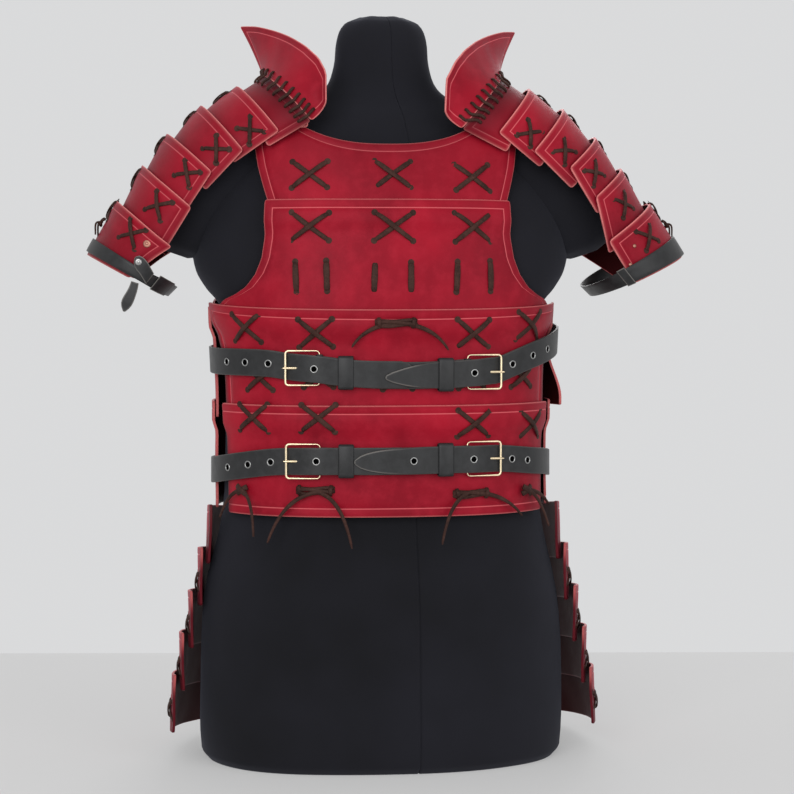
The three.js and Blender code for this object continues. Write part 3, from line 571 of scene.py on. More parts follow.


# black discs that close the eyelets' mouths: painted shade standing for the holes
def eyeletHoleShade():
    return nodeTree("eyelet_dark").finish({"Base Color": (0.0015, 0.0015, 0.0015, 1), "Specular IOR Level": 0.0})


clothLook = {"dark": (0.0040, 0.0040, 0.0056), "body": (0.0085, 0.0085, 0.0125), "thread": (0.014, 0.014, 0.018)}


def formCloth():
    t = nodeTree("form_cloth")
    weave = t.sums("MULTIPLY", t.threads("Z"), t.threads("X"))
    base = t.blend(t.ramp(t.noise(4, 3, 0.6), (0.35, 0.0), (0.7, 1.0)), clothLook["dark"], clothLook["body"])
    base = t.blend(t.ramp(weave, (0.3, 0.0), (0.9, 0.35)), base, clothLook["thread"])
    fixed = {"Roughness": 0.92, "Specular IOR Level": 0.2, "Sheen Weight": 0.07, "Sheen Roughness": 0.5,
             "Sheen Tint": (0.75, 0.78, 1.0, 1)}
    return t.finish(fixed, base, None, [(t.noise(18, 3, 0.5), 0.25, 0.004), (weave, 0.3, 0.0004)])


finishes = {
    "red": redLeather(),
    "black": blackLeather(),
    "lace": laceLeather(),
    "brass": plainMetal("pale_brass", (0.88, 0.73, 0.49), 0.27),
    "silver": plainMetal("silver_metal", (0.36, 0.36, 0.355), 0.3),
    # black finish of the eyelet discs, painted shade
    "hole": eyeletHoleShade(),
    "copper": plainMetal("copper_metal", (0.42, 0.20, 0.15), 0.42),
    "cloth": formCloth(),
}


def makePiece(name, points, faces, finish, replaced=(), painted=None, sharp=42):
    mesh = bpy.data.meshes.new(name)
    mesh.from_pydata((np.asarray(points, float) * metre).tolist(), [], faces)
    mesh.validate()
    for key, values in (painted or {}).items():
        mesh.attributes.new(key, "FLOAT", "POINT").data.foreach_set("value", np.asarray(values, np.float32))
    bm = bmesh.new()
    bm.from_mesh(mesh)
    bmesh.ops.recalc_face_normals(bm, faces=bm.faces)
    bm.to_mesh(mesh)
    bm.free()
    mesh.polygons.foreach_set("use_smooth", [True] * len(mesh.polygons))
    mesh.set_sharp_from_angle(angle=math.radians(sharp))
    mesh.materials.append(finishes[finish])
    piece = bpy.data.objects.new(name, mesh)
    bpy.context.scene.collection.objects.link(piece)
    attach(piece, "root")
    if replaced:
        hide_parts(*replaced)
    return piece


# lines of points across a panel: some at fixed distances from each end, the rest evenly between
def lineUp(first, last, length, step):
    count = max(2, int(round((length - first[-1] - last[-1]) / step)))
    t = np.linspace(0, 1, count + 1)[1:-1]
    fixed = np.concatenate([first, first[-1] * (1 - t) - last[-1] * t, [-d for d in reversed(last)]])
    scaled = np.concatenate([np.zeros(len(first)), t, np.ones(len(last))])
    return fixed, scaled


# parameter at a run of length along a row (or column) of a measured table
def atLength(table, across, run):
    k = clamp01(across) * (table.shape[0] - 1)
    k0 = np.minimum(k.astype(int), table.shape[0] - 2)
    row = table[k0] + (table[k0 + 1] - table[k0]) * (k - k0)[:, None]
    i = np.clip((row < run[:, None]).sum(1), 1, table.shape[1] - 1)
    a, b = (np.take_along_axis(row, k[:, None], 1)[:, 0] for k in (i - 1, i))
    return (i - 1 + clamp01((run - a) / np.maximum(b - a, 1e-9))) / (table.shape[1] - 1)


# length run so far along each row of a grid of points
def lengths(grid):
    steps = np.linalg.norm(np.diff(grid, axis=1), axis=2)
    return np.concatenate([np.zeros((len(steps), 1)), np.cumsum(steps, 1)], 1)


# u and v of a panel's mesh points, and how far each lies from the panel's edges
def panelGrid(place, marks, step, corner, height, samples):
    uFine, vFine = (np.linspace(0, 1, count) for count in samples)
    grid = place(*np.meshgrid(uFine, vFine), height)
    runU, runV = lengths(grid), lengths(grid.swapaxes(0, 1))
    meanU, meanV = runU[:, -1].mean(), runV[:, -1].mean()
    fixedU, scaledU = lineUp(marks["left"], marks["right"], meanU, step[0])
    fixedV, scaledV = lineUp(marks["bottom"], marks["top"], meanV, step[1])
    shape = (len(fixedV), len(fixedU))
    fixedU, scaledU = np.broadcast_to(fixedU, shape).ravel(), np.broadcast_to(scaledU, shape).ravel()
    fixedV, scaledV = (np.broadcast_to(a[:, None], shape).ravel() for a in (fixedV, scaledV))
    u, v = clamp01(scaledU + fixedU / meanU), clamp01(scaledV + fixedV / meanV)
    for _ in range(3):
        lengthU, lengthV = np.interp(v, vFine, runU[:, -1]), np.interp(u, uFine, runV[:, -1])
        squeezeU = np.minimum(1, lengthU / (marks["left"][-1] + marks["right"][-1] + 1))
        squeezeV = np.minimum(1, lengthV / (marks["bottom"][-1] + marks["top"][-1] + 1))
        su, sv = fixedU * squeezeU + scaledU * lengthU, fixedV * squeezeV + scaledV * lengthV
        edges = {"left": su, "right": lengthU - su, "bottom": sv, "top": lengthV - sv}
        du, dv = np.minimum(su, lengthU - su), np.minimum(sv, lengthV - sv)
        inCorner = (du < corner) & (dv < corner)
        s, t = 1 - du / corner, 1 - dv / corner
        cutU, cutV = corner * (1 - s * np.sqrt(1 - t * t / 2)), corner * (1 - t * np.sqrt(1 - s * s / 2))
        su = np.where(inCorner, np.where(su < lengthU / 2, cutU, lengthU - cutU), su)
        sv = np.where(inCorner, np.where(sv < lengthV / 2, cutV, lengthV - cutV), sv)
        u, v = atLength(runU, v, su), atLength(runV, u, sv)
    return u, v, edges, shape


panelLook = {
    "bevel": 0.9,
    "corner": 4.5,
    "groove": 11.5,       # distance of the tooled line from the edge
    "grooveDepth": 0.7,
    "grooveHalf": 1.25,
    "step": (7.0, 7.0),
    "rounding": 4.5,      # radius of the panel's corners
    "samples": (73, 37),
    "wave": 0.45,         # gentle unevenness of hand-worked leather
    "rim": 1.0,           # how pale its cut edges are, their own colour with a painted highlight, a number or a function of u and v
    "paleWidth": 1.4,     # how far the pale edge runs onto the face, in bevels
    "shade": None,        # how dark its face is, a function of u and v
}


# a leather panel with rounded edges and a tooled line along the named edges
def leatherPanel(name, place, thick, finish, grooved=(), replaced=None, look=None, held=None):
    look = {**panelLook, **(look or {})}
    groove, half = look["groove"], look["grooveHalf"]
    near = [0, 0.35, look["bevel"], 2.0, look["corner"]]
    line = [groove + half * k for k in (-1, -0.5, 0, 0.5, 1)]
    marks = {edge: near + line * (edge in grooved) for edge in ("left", "right", "bottom", "top")}
    u, v, edges, shape = panelGrid(place, marks, look["step"], look["rounding"], thick, look["samples"])
    nearest = np.minimum.reduce(list(edges.values()))
    drop = look["bevel"] * 0.85 * clamp01(1 - nearest / look["bevel"]) ** 2
    tooled = np.zeros(len(u))
    if grooved:
        off = np.abs(np.minimum.reduce([edges[edge] for edge in grooved]) - groove)
        tooled = clamp01(1 - off / half)
    seed = sum(map(ord, name)) % 17
    uneven = np.sin(u * 9 + seed) * np.cos(v * 5 + seed * 1.7) + 0.5 * np.sin(u * 23 + v * 7 + seed)
    dent = look["wave"] * uneven
    outer = place(u, v, thick - drop - look["grooveDepth"] * tooled ** 0.8 + dent)
    inner = place(u, v, 0.5 * drop + dent)
    # pale cut edge: its own colour and a painted highlight
    rim = clamp01(1.25 - nearest / (look["bevel"] * look["paleWidth"]))
    burnish = 0.55 * clamp01(1 - nearest / 5) * (1 - rim)
    shade = clamp01(look["shade"](u, v)) if look["shade"] else 0 * u
    paleness = look["rim"](u, v) if callable(look["rim"]) else look["rim"] + 0 * u
    rows, columns = shape
    count = rows * columns
    faces = []
    for j in range(rows - 1):
        for i in range(columns - 1):
            a = j * columns + i
            corners = (a, a + 1, a + 1 + columns, a + columns)
            faces += [corners, tuple(count + k for k in reversed(corners))]
    order = np.arange(count).reshape(shape)
    ring = [*order[0], *order[1:, -1], *order[-1, -2::-1], *order[-2:0:-1, 0]]
    for a, b in zip(ring, ring[1:] + ring[:1]):
        faces.append((a, count + a, count + b, b))
    none = np.zeros(count)
    layers = {      # on the face, and on the back
        "rim": (paleness * rim, paleness * clamp01(1 - nearest / look["bevel"])),
        "shade": (shade, shade),
        # painted shade on the back, away from its edges
        "inside": (none, clamp01((nearest - look["bevel"] * 0.6) / 0.5)),
        "tooled": ((tooled > 0.8) * 1.0 + (abs(tooled - 0.5) < 0.2) * 0.25, none),
        "burnish": (burnish, none + 0.3),
    }
    painted = {key: np.concatenate(layer) for key, layer in layers.items()}
    points = np.concatenate([outer, inner])
    piece = makePiece(name + "_look", points, faces, finish, [replaced or name], painted)
    if held:
        grid = ((outer + inner) / 2).reshape(rows, columns, 3) * metre
        wide, tall = (lengths(k)[:, -1].max() for k in (grid, grid.swapaxes(0, 1)))
        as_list(held[1])


# many small solids gathered into one piece
def newHeap():
    return {"points": [], "faces": [], "count": 0}


def addTube(heap, rings, closed=False):
    rings = np.asarray(rings, float)
    n, sides = rings.shape[:2]
    start = heap["count"]
    heap["points"].append(rings.reshape(-1, 3))
    heap["count"] += n * sides
    for j in range(n if closed else n - 1):
        a, b = start + j * sides, start + (j + 1) % n * sides
        for i in range(sides):
            m = (i + 1) % sides
            heap["faces"].append((a + i, a + m, b + m, b + i))
    if not closed:
        for j in (0, n - 1):
            heap["faces"].append(tuple(start + j * sides + i for i in range(sides)))


def finishHeap(name, heap, finish, replaced=(), sharp=50):
    return makePiece(name, np.concatenate(heap["points"]), heap["faces"], finish, replaced, None, sharp)


laceSection = [(-0.5, 0.25), (-0.47, 0.66), (-0.33, 0.93), (0, 1.0), (0.33, 0.93), (0.47, 0.66), (0.5, 0.25),
               (0.36, 0.0), (-0.36, 0.0)]


# flat lace along a line of points on its underside; widths in mm at each point
def addLace(heap, path, normals, widths, thick=2.0):
    path, normals = np.asarray(path, float), unit(np.asarray(normals, float))
    heading = unit(np.gradient(path, axis=0))
    side = unit(np.cross(heading, normals))
    up = unit(np.cross(side, heading))
    widths = np.broadcast_to(widths, len(path))
    rings = [[p + s * w * a + n * thick * b for a, b in laceSection] for p, s, n, w in zip(path, side, up, widths)]
    addTube(heap, rings)


# smooth way from b to c, where a comes before them and d after
def smoothWay(a, b, c, d, f):
    bend = (2 * a - 5 * b + 4 * c - d) * f ** 2
    return 0.5 * (2 * b + (c - a) * f + bend + (3 * b - 3 * c + d - a) * f ** 3)


def curve(points, count):
    points = np.asarray(points, float)
    t = np.linspace(0, len(points) - 1, count)
    i = np.minimum(t.astype(int), len(points) - 2)
    padded = np.concatenate([2 * points[:1] - points[1:2], points, 2 * points[-1:] - points[-2:-1]])
    return smoothWay(*(padded[i + k] for k in range(4)), (t - i)[:, None])


def bezier(a, b, c, t):
    t = t[:, None]
    return (1 - t) ** 2 * a + 2 * t * (1 - t) * b + t * t * c


# a point of a panel, and how it moves with u, v and h there
def smallStep(place, u, v, h):
    e = 0.004
    p = place(u, v, h)
    du = (place(u + e, v, h) - p) / e
    dv = (place(u, v + e, h) - p) / e
    return p, du, dv, place(u, v, h + 1) - p


# the same point with the directions right, outward and upward
def standing(place, u, v, h):
    p, du, dv, up = smallStep(place, u, v, h)
    right, out = unit(du), unit(up)
    return p, right, out, unit(np.cross(out, right))


# circle round such a point, lifted off the panel
def circle(spot, radius, lift, count):
    p, right, out, upward = spot
    turns = fullTurn(count)[:, None]
    return p + (right * np.cos(turns) + upward * np.sin(turns)) * radius + out * lift


lacing = {
    "width": 6.5,
    "thick": 2.1,
    "dive": 3.0,         # how far an end goes down into its hole
    "hole": 4.2,         # radius of the disc round a lace end, painted shade for a punched hole's rounded mouth
    "uneven": 0.05,
    "points": 15,
    "stray": 0.7,        # how far a run's points stray from the pattern
}
chance = random.Random(7)
laceHeap, laceHoleShadeHeap = newHeap(), newHeap()


# one visible run of lace on a panel, from hole to hole; points are mm offsets (right, up) from u, v
def surfaceRun(place, u, v, offsets, lift, width=None, level=False):
    p, du, dv, up = smallStep(place, u, v, wall)
    right = unit(du)
    upward = unit(dv - np.dot(dv, right) * right)
    if level:
        flat = np.cross([0, 0, 1.0], up)
        right = unit(flat) * (1 if flat @ du > 0 else -1)
        upward = unit(np.cross(up, right))
    if upward[2] < -0.2:
        upward = -upward
    line = curve(offsets, lacing["points"])
    target = p + line[:, :1] * right + line[:, 1:] * upward
    us, vs = (np.full(len(line), float(k)) for k in (u, v))
    e = 0.003
    for _ in range(4):
        at, atU, atV = place(us, vs, wall), place(us + e, vs, wall), place(us, vs + e, wall)
        a, b, c, d = ((k - at) @ way / e for way in (right, upward) for k in (atU, atV))
        x, y, whole = (target - at) @ right, (target - at) @ upward, a * d - b * c
        us, vs = us + (d * x - b * y) / whole, vs + (a * y - c * x) / whole
    t = np.linspace(0, 1, len(line))
    first, last = clamp01(1 - t / 0.12), clamp01((t - 0.88) / 0.12)     # the ends that go down into holes
    rise = wall + lift * np.sin(np.pi * t) ** 0.7
    path = place(us, vs, rise - lacing["dive"] * (first ** 1.5 + last ** 1.5) + 0.15)
    normals = place(us, vs, rise + 1) - place(us, vs, rise)
    widths = (width or lacing["width"]) * (1 + lacing["uneven"] * np.sin(3 * np.pi * t + chance.random() * 6))
    addLace(laceHeap, path, normals, widths * (1 - 0.22 * (first + last)), lacing["thick"])
    for k in (0, -1):
        spot = standing(place, us[k], vs[k], wall)
        mouth = ((1, -0.4), (1, 0.12), (0.8, 0.2))      # a flat disc a hair over the leather: painted shade of the hole
        addTube(laceHoleShadeHeap, [circle(spot, lacing["hole"] * share, up, 12) for share, up in mouth])


def crossing(place, u, v, half, over=1, width=None, level=False):
    a, b = half
    lines = [[(-a, -b), (0, 0), (a, b)], [(-a, b), (0, 0), (a, -b)]]
    stray = lambda value: value + chance.uniform(-lacing["stray"], lacing["stray"])
    for k, line in enumerate(lines[::over]):
        surfaceRun(place, u, v, [(stray(x), stray(y)) for x, y in line], 2.3 * k + 0.2, width, level)


stitch = {"half": 39 / 2, "width": 8.0, "lift": 0.5}


def stitchAt(place, u, v, lean=0.0):
    ends = [(-lean, -stitch["half"]), (0, 0), (lean, stitch["half"])]
    surfaceRun(place, u, v, ends, stitch["lift"], stitch["width"], level=True)


# u, v of a lame's point that is seen over a spot of the front
def frontUv(place, x, z):
    uv, e = np.array([0.5 + x / 480, 0.5]), 0.002
    seen = lambda u, v: place(u, v, wall)[[0, 2]]
    for _ in range(12):
        base = seen(*uv)
        columns = [(seen(uv[0] + e, uv[1]) - base) / e, (seen(uv[0], uv[1] + e) - base) / e]
        uv = uv + np.clip(np.linalg.pinv(np.stack(columns, 1)) @ (np.array([x, z], float) - base), -0.3, 0.3)
    return float(uv[0]), float(uv[1])


# tooled edges of the cuirass's lames by number, and how far in the line runs
grooves = {
    "1": (("left", "right", "top"), 11.0),
    "2": (("left", "right", "top"), 11.6),
    "3": (("top", "left", "right"), 13.0),
    "4": (("top", "bottom"), 11.0),
}


# how dark the sides of a lame are, from so many edge widths in and from so far down
def sideShade(depth, start, top):
    return lambda u, v: depth * clamp01(start - np.minimum(u, 1 - u) * 46) * clamp01((top - v) / 0.1)


shades = {
    "front_lame_1": lambda u, v: 0.34 * v ** 1.5,
    "front_lame_3": sideShade(0.85, 1.1, 0.88),
    "front_lame_4": sideShade(0.7, 1, 0.8),
}
for name in cuirassLames:
    edges, distance = grooves[name[-1]]
    leatherPanel(name, cuirassPlace(name), wall, "red", edges, held=("draped", ["dress_form"]),
                 look={"groove": distance, "rim": 0.55, "shade": shades.get(name)})

# middles and half sizes of the lacing's crosses, front and back, and the upright stitches between them
crosses = {
    "front_lame_1": ((23, 17.5), [(-102, 779), (5, 779), (109, 776)]),
    "front_lame_2": ((24.5, 18), [(-103, 711), (4, 711), (108, 711)]),
    "front_lame_3": ((22, 18), [(-186, 581), (-97, 575), (107, 574), (188, 584)]),
    "hidden": ((19, 14), [(-167, 515), (-93, 520), (8, 517), (107, 517), (176, 517)]),
    "front_lame_4": ((22, 17), [(-177, 465), (-94, 466), (109, 458), (191, 453)]),
}
backCrosses = {
    "back_lame_1": (785, (-104, 0, 104)),
    "back_lame_2": (711, (-104, 0, 104)),
    "back_lame_3": (574, (-150, -52, 52, 150)),
    "back_lame_4": (460, (-160, -56, 56, 160)),
}
stitches = [(-121, 647), (-82, 648), (-21, 646), (26, 646), (86, 647), (131, 648)]
backStitches = (-126, -82, -22, 22, 82, 126)


def crossLame(name, half, middles):
    place = cuirassPlace(name)
    for k, (x, z) in enumerate(middles):
        crossing(place, *frontUv(place, x, z), half, over=1 if k % 2 else -1, level=True)


for name, (half, middles) in crosses.items():
    crossLame("front_lame_3" if name == "hidden" else name, half, middles)     # the upper belt hides that row
place = cuirassPlace("front_lame_2")
for x, z in stitches:
    stitchAt(place, *frontUv(place, x, z), chance.uniform(-1.5, 1.5))
for name, (z, across) in backCrosses.items():
    crossLame(name, (22, 17.5), [(x, z) for x in across])
place = cuirassPlace("back_lame_2")
for x in backStitches:
    stitchAt(place, *frontUv(place, x, 648))
print("cuirass laced")


# a short bar of lace wound across, as where two lacings are tied off
def woundBar(heap, place, u, v, h, width, turns=3, high=12.5):
    p, right, out, upward = standing(place, u, v, h)
    if right[0] < 0:
        right = -right
    if upward[2] < 0:
        upward = -upward
    t = np.linspace(-1, 1, 25)
    for k in range(turns):
        y = (k - (turns - 1) / 2) * high / turns * 0.8
        bulge = 2.6 + k % 2 + 1.2 * (1 - t ** 2) - 5.0 * clamp01((abs(t) - 0.84) / 0.16) ** 1.5
        sway = 1.5 * np.sin(2.4 * t + k * 2.6) * (1 - 0.3 * t * t) + 1.2 * np.abs(t) ** 3 * (1 - k)
        path = [p + right * (width / 2 * a) + upward * (y + b) + out * c for a, b, c in zip(t, sway, bulge)]
        addLace(heap, path, [out] * len(t), 4.8, 2.5)
    s = np.linspace(-1, 1, 11)[:, None]
    for side in (-1, 1):
        path = p + right * (side * (width * 0.43 + 0.6 * s)) + upward * (s * high * 0.42) + out * (5.6 - 4.2 * s * s)
        addLace(heap, path, [out] * len(s), 5.2, 2.4)


# the straps' inner and outer edges, and the heights and places they pass through
shoulder = {
    "inner": 102,
    "outer": 146,
    "off": wall + 1.2,
    "heights": [838, 853, 869],
    "over": [(-69, 880), (-36, 894), (0, 899), (42, 895), (74, 881)],
}


# smooth path through stations: each is a function of (across, height)
def throughStations(stations, u, a, h):
    u, a, h = spreadOut(u, a, h)
    last = len(stations) - 1
    points = np.stack([station(a, h) for station in stations])
    i = np.minimum((u * last).astype(int), last - 1)
    f = (u * last - i)[..., None]

    def pick(k):
        k = np.broadcast_to(np.clip(k, 0, last)[None, ..., None], (1,) + k.shape + (3,))
        return np.take_along_axis(points, k, 0)[0]

    b, c = pick(i), pick(i + 1)
    a = np.where((i == 0)[..., None], 2 * b - c, pick(i - 1))
    d = np.where((i == last - 1)[..., None], 2 * c - b, pick(i + 2))
    return smoothWay(a, b, c, d, f)


def shoulderPlace(sign):
    def onBody(isFront, z):
        def station(x, h):
            turn = np.arcsin((x / along(bodyRows, "half", z)) ** (roundness / 2))
            return bodyPoint(bodyRows, turn if isFront else np.pi - turn, z, shoulder["off"] + h)
        return station

    def overTop(y, z):
        def station(x, h):
            radius = unit(np.array([0, y, (z - 800) * 0.9]))
            point = np.stack([x, np.full_like(x, y), z - (x - shoulder["inner"]) * 0.16], -1)
            return point + radius * h[..., None]
        return station

    stations = [onBody(True, z) for z in shoulder["heights"]]
    stations += [overTop(y, z) for y, z in shoulder["over"]]
    stations += [onBody(False, z) for z in reversed(shoulder["heights"])]

    def place(u, v, h):
        across = mix(shoulder["inner"], shoulder["outer"], np.asarray(v, float))
        return throughStations(stations, u, across, h) * np.array([sign, 1, 1])

    return place


for word, sign in (("left", -1), ("right", 1)):
    place = shoulderPlace(sign)
    leatherPanel("shoulder_strap_" + word, place, wall, "red", ("bottom", "top"),
                 look={"groove": 6, "samples": (121, 9)}, held=("draped", ["dress_form"]))
    for u in (0.075, 0.925):
        crossing(place, u, 0.5, (11, 9), width=5.4)

# u and v of the crosses on the shoulder guards' lames
armCrosses = {
    "left": {"arm_lame_1": [(0.091, 0.40), (0.475, 0.39), (0.85, 0.38)],
             "arm_lame_2": [(0.107, 0.36), (0.475, 0.295), (0.85, 0.36)],
             "arm_lame_3": [(0.109, 0.325), (0.475, 0.225), (0.85, 0.33)],
             "arm_lame_4": [(0.147, 0.355), (0.475, 0.235), (0.85, 0.33)],
             "arm_lame_5": [(0.173, 0.27), (0.475, 0.17), (0.85, 0.29)]},
    "right": {"arm_lame_1": [(0.103, 0.46), (0.475, 0.39), (0.85, 0.38)],
              "arm_lame_2": [(0.121, 0.44), (0.475, 0.3), (0.85, 0.36)],
              "arm_lame_3": [(0.122, 0.385), (0.475, 0.24), (0.85, 0.33)],
              "arm_lame_4": [(0.176, 0.42), (0.475, 0.24), (0.85, 0.33)],
              "arm_lame_5": [(0.19, 0.36), (0.475, 0.17), (0.85, 0.29)]},
}
armHalf = {"arm_lame_4": (14, 14), "arm_lame_5": (15, 14)}
guardLoops = {
    "at": [0.07, 0.135, 0.20, 0.27, 0.345, 0.43, 0.52, 0.63, 0.74, 0.85, 0.94],
    "width": 4.1,
    "lastWidth": 4.1 * 1.25,
    "reach": 11.5,
}


# a low rounded head of a rivet or stud
def dome(heap, place, u, v, h, radius, high):
    spot = standing(place, u, v, h)
    addTube(heap, [circle(spot, radius * math.cos(max(a, 0)), high * math.sin(a), 16)
                   for a in (-0.2, 0.0, 0.35, 0.7, 1.05, 1.35, 1.52)])


def eyelet(metal, dark, place, u, v, h, outer=5.1, inner=3.5):
    spot = standing(place, u, v, h)
    middle, tube = (outer + inner) / 2, (outer - inner) / 2
    addTube(metal, [circle(spot, middle + tube * math.cos(s), 0.15 + 0.6 * math.sin(s), 24) for s in fullTurn(8)],
            closed=True)
    # a black disc in the eyelet's mouth, painted shade of the hole
    addTube(dark, [circle(spot, inner + 0.4, lift, 24) for lift in (-0.6, 0.1)])


# one loop of lace that holds a neck guard to its cap
def guardLoop(guard, u, cap, capU, width):
    base, capBase = guard(u, 0.0, wall), cap(capU, 0.0, wall)
    rise = guardLoops["reach"] / np.linalg.norm(guard(u, 1.0, wall) - base)
    fall = guardLoops["reach"] * 1.1 / np.linalg.norm(cap(capU, 1.0, wall) - capBase)
    out = unit(base - guard(u, 0.0, 0))
    line = [guard(u, rise * share, wall + lift) for share, lift in ((1, -2.5), (0.9, 1), (0.4, 2))]
    line.append((base + capBase) / 2 + 2.2 * out)
    line += [cap(capU, fall * share, wall + lift) for share, lift in ((0.5, 2), (0.9, 1), (1, -2.5))]
    addLace(laceHeap, curve(line, 15), [out] * 15, width, 2.6)


rivetHeap, studHeap, silverHeap, eyeletShadeHeap = newHeap(), newHeap(), newHeap(), newHeap()
armShade = {"left": 0.15, "right": 0.02}


def guardShade(name, word):
    if name == "cap":
        return lambda u, v: 0.92 * (1.1 - v) * clamp01(0.72 + 1.6 * u)
    return lambda u, v: armShade[word] + 0.3 * clamp01(v * 1.6 - 0.5)


for word in ("left", "right"):
    above = "shoulder_strap_" + word
    for name in armRows:
        place = armPlace(name, word)
        look = {"groove": 9.0 if name == "cap" else 11.0, "shade": guardShade(name, word), "paleWidth": 2.1}
        leatherPanel(f"{name}_{word}", place, wall, "red", ("left", "right", "bottom"), look=look,
                     held=("hung", [above]))
        above = f"{name}_{word}"
        for k, (u, v) in enumerate(armCrosses[word].get(name, ())):
            crossing(place, u, v, armHalf.get(name, (13.5, 12)), over=1 if k % 2 else -1, width=5.2)
    guard, cap = guardPlace(word), armPlace("cap", word)
    leatherPanel("neck_guard_" + word, guard, wall, "red", ("left", "top", "right"), look={"groove": 9.5},
                 held=("stretched", ["cap_" + word]))
    back = armRows["cap"]["upper"]["reach"]
    front = back + frontTurns[word]["cap"][0]
    for u in guardLoops["at"]:
        angle = np.interp(u * 7, range(8), guardRows["at"])
        width = guardLoops["lastWidth" if u == guardLoops["at"][-1] else "width"]
        guardLoop(guard, u, cap, (front - angle) / (front + back), width)

# rivets on the last lames
rivets = {
    "left": [(0.081, 0.25, wall, 5.2, 1.3), (0.081, 0.25, wall + 0.9, 2.4, 1.2)],
    "right": [(0.094, 0.36, wall, 2.6, 1.4), (0.03, 0.62, wall, 2.6, 1.4)],
}
for word, row in rivets.items():
    for rivet in row:
        dome(rivetHeap, armPlace("arm_lame_5", word), *rivet)
print("shoulder guards laced")

armStrap = {
    "left": {"front": (0.72, 0.95), "under": (0.66, 0.97)},     # across the last lame, and under the arm
    "right": {"front": (0.64, 0.97), "under": (0.64, 0.97)},
    "off": wall + 0.8,
    "closeShare": 0.56,
}


# u runs round the arm, from under it over the front and top to the back; v down the last lame
def aroundArm(word):
    row = armRows["arm_lame_5"]

    def place(u, v, h):
        u, v, h = spreadOut(u, v, h)
        angle = np.pi - 2 * np.pi * u
        points = []
        for edge in (row["upper"], row["lower"]):
            flat = edgePoint(edge, angle, armStrap["off"] + h)
            side = edgePoint(edge, np.where(np.sin(angle) < 0, -np.pi / 2, np.pi / 2), armStrap["off"] + h)
            under = (np.cos(angle) < 0)[..., None]
            share = np.array([armStrap["closeShare"], 1, armStrap["closeShare"]])
            points.append(np.where(under, side + (flat - side) * share, flat))
        return onSide(word, points[0] + (points[1] - points[0]) * v[..., None])

    return place


def armStrapPlace(word):
    around, width = aroundArm(word), armStrap[word]

    def place(u, v, h):
        under = ease((np.abs(np.asarray(u, float) * 2 - 1) - 0.5) / 0.3)
        low, high = (mix(width["front"][k], width["under"][k], under) for k in (0, 1))
        return around(u, mix(low, high, v), h)

    return place


narrowLook = {"step": (5, 5), "corner": 1.5, "rounding": 0.01, "bevel": 0.7, "wave": 0}


# a second thickness of strap, from one place round the arm to another, with a rounded first end
def strapPatch(name, word, start, end, spread, rounded=0, lift=3.3):
    around = aroundArm(word)

    def place(u, v, h):
        u, v = np.asarray(u, float), np.asarray(v, float)
        half = spread * (roundedEnd(clamp01(u / rounded)) if rounded else 1)
        return around(mix(start[0], end[0], u), mix(start[1], end[1], u) + (2 * v - 1) * half, h + lift)

    leatherPanel(name, place, 2.4, "black", replaced="arm_strap_" + word, look=narrowLook)
    return place


# strap whose ends meet: rounded section swept along u
def closedStrap(name, place, turns=120):
    heap = newHeap()
    profile = [(0, 0.15), (0, 0.85), (0.03, 1), (0.25, 1.04), (0.5, 1.06), (0.75, 1.04), (0.97, 1), (1, 0.85),
               (1, 0.15), (0.97, 0), (0.5, 0), (0.03, 0)]
    v, h = np.array(profile).T * [[1], [strapWall]]
    addTube(heap, [place(k / turns, v, h) for k in range(turns)], closed=True)
    finishHeap(name + "_look", heap, "black", [name], sharp=60)


for word in ("left", "right"):
    closedStrap("arm_strap_" + word, armStrapPlace(word))

tab = strapPatch("arm_strap_tab", "left", (0.283, 0.60), (0.20, 0.80), 0.14, 0.3)
dome(studHeap, tab, 0.16, 0.5, 2.4, 4.6, 1.2)
dome(studHeap, tab, 0.16, 0.5, 3.3, 2.2, 1.0)
strapPatch("arm_strap_fold", "left", (0.17, 0.81), (0.075, 0.81), 0.19)
strapPatch("arm_strap_keeper", "right", (0.235, 0.80), (0.20, 0.80), 0.2)

# knotted lace ends at the top of the last lames
for word, sign in (("left", -1), ("right", 1)):
    p, du, dv, up = smallStep(armPlace("arm_lame_5", word), 0.47, 0.42, wall)
    out, heading = unit(up), unit(dv)
    t = np.linspace(-1, 1, 9)[:, None]
    for k, turn in enumerate((0.6, -0.7)):
        run = heading * math.cos(turn) + unit(du) * math.sin(turn)
        addLace(laceHeap, p + run * 6 * t + out * (2.6 + 1.6 * k - 2 * t * t), [out] * len(t), 5, 2.4)
    for reach, fall in ((9, 30), (16, 17)):
        points = [p + out * 3, p + out * 5 + np.array([sign * reach * 0.4, -3, -fall * 0.2]),
                  p + out * 3 + np.array([sign * reach * 0.55, -5, -fall])]
        widths = 3.4 * (1 - 0.4 * np.linspace(0, 1, 12))
        addLace(laceHeap, curve(points, 12), [[sign * 0.4, -0.9, 0.1]] * 12, widths, 1.8)

looseEnd = {
    "x": [-327, -330, -337, -340, -341.5],
    "y": [-88, -89, -89, -88, -88],
    "z": [640, 630, 615, 607, 602],
    "half": [5, 6, 7.5, 5, 1.2],
    "key": [0, 1, 2, 3, 4],
}


def looseEndPlace(u, v, h):
    u, v, h = spreadOut(u, v, h)
    x, y, z, half = (along(looseEnd, k, u * 4, "key") for k in ("x", "y", "z", "half"))
    spread = (2 * v - 1) * half
    return np.stack([x + spread * 0.95, y - h, z - spread * 0.3], -1)


leatherPanel("arm_strap_end_left", looseEndPlace, strapWall, "black", look=narrowLook)

hipCrosses = {"across": (0.12, 0.5, 0.88), "down": 0.6, "half": (16, 12)}
# near each lame's top the cut edge stays pale, its own colour with a painted highlight; lower down the paleness gives
# way to painted shade
hipLitEdge = lambda u, v: 0.5 * clamp01(1.4 - 3.2 * v)


# how dark a hip lame is: below its middle, and along its front edge
def hipShade(index):
    def shade(u, v):
        edge = 0.25 + 0.6 * ease((v - 0.15) / 0.3) if index else 0.88
        return np.maximum(0.7 * ease((v - 0.35) / 0.3), edge * clamp01(1.5 - u * 16))
    return shade


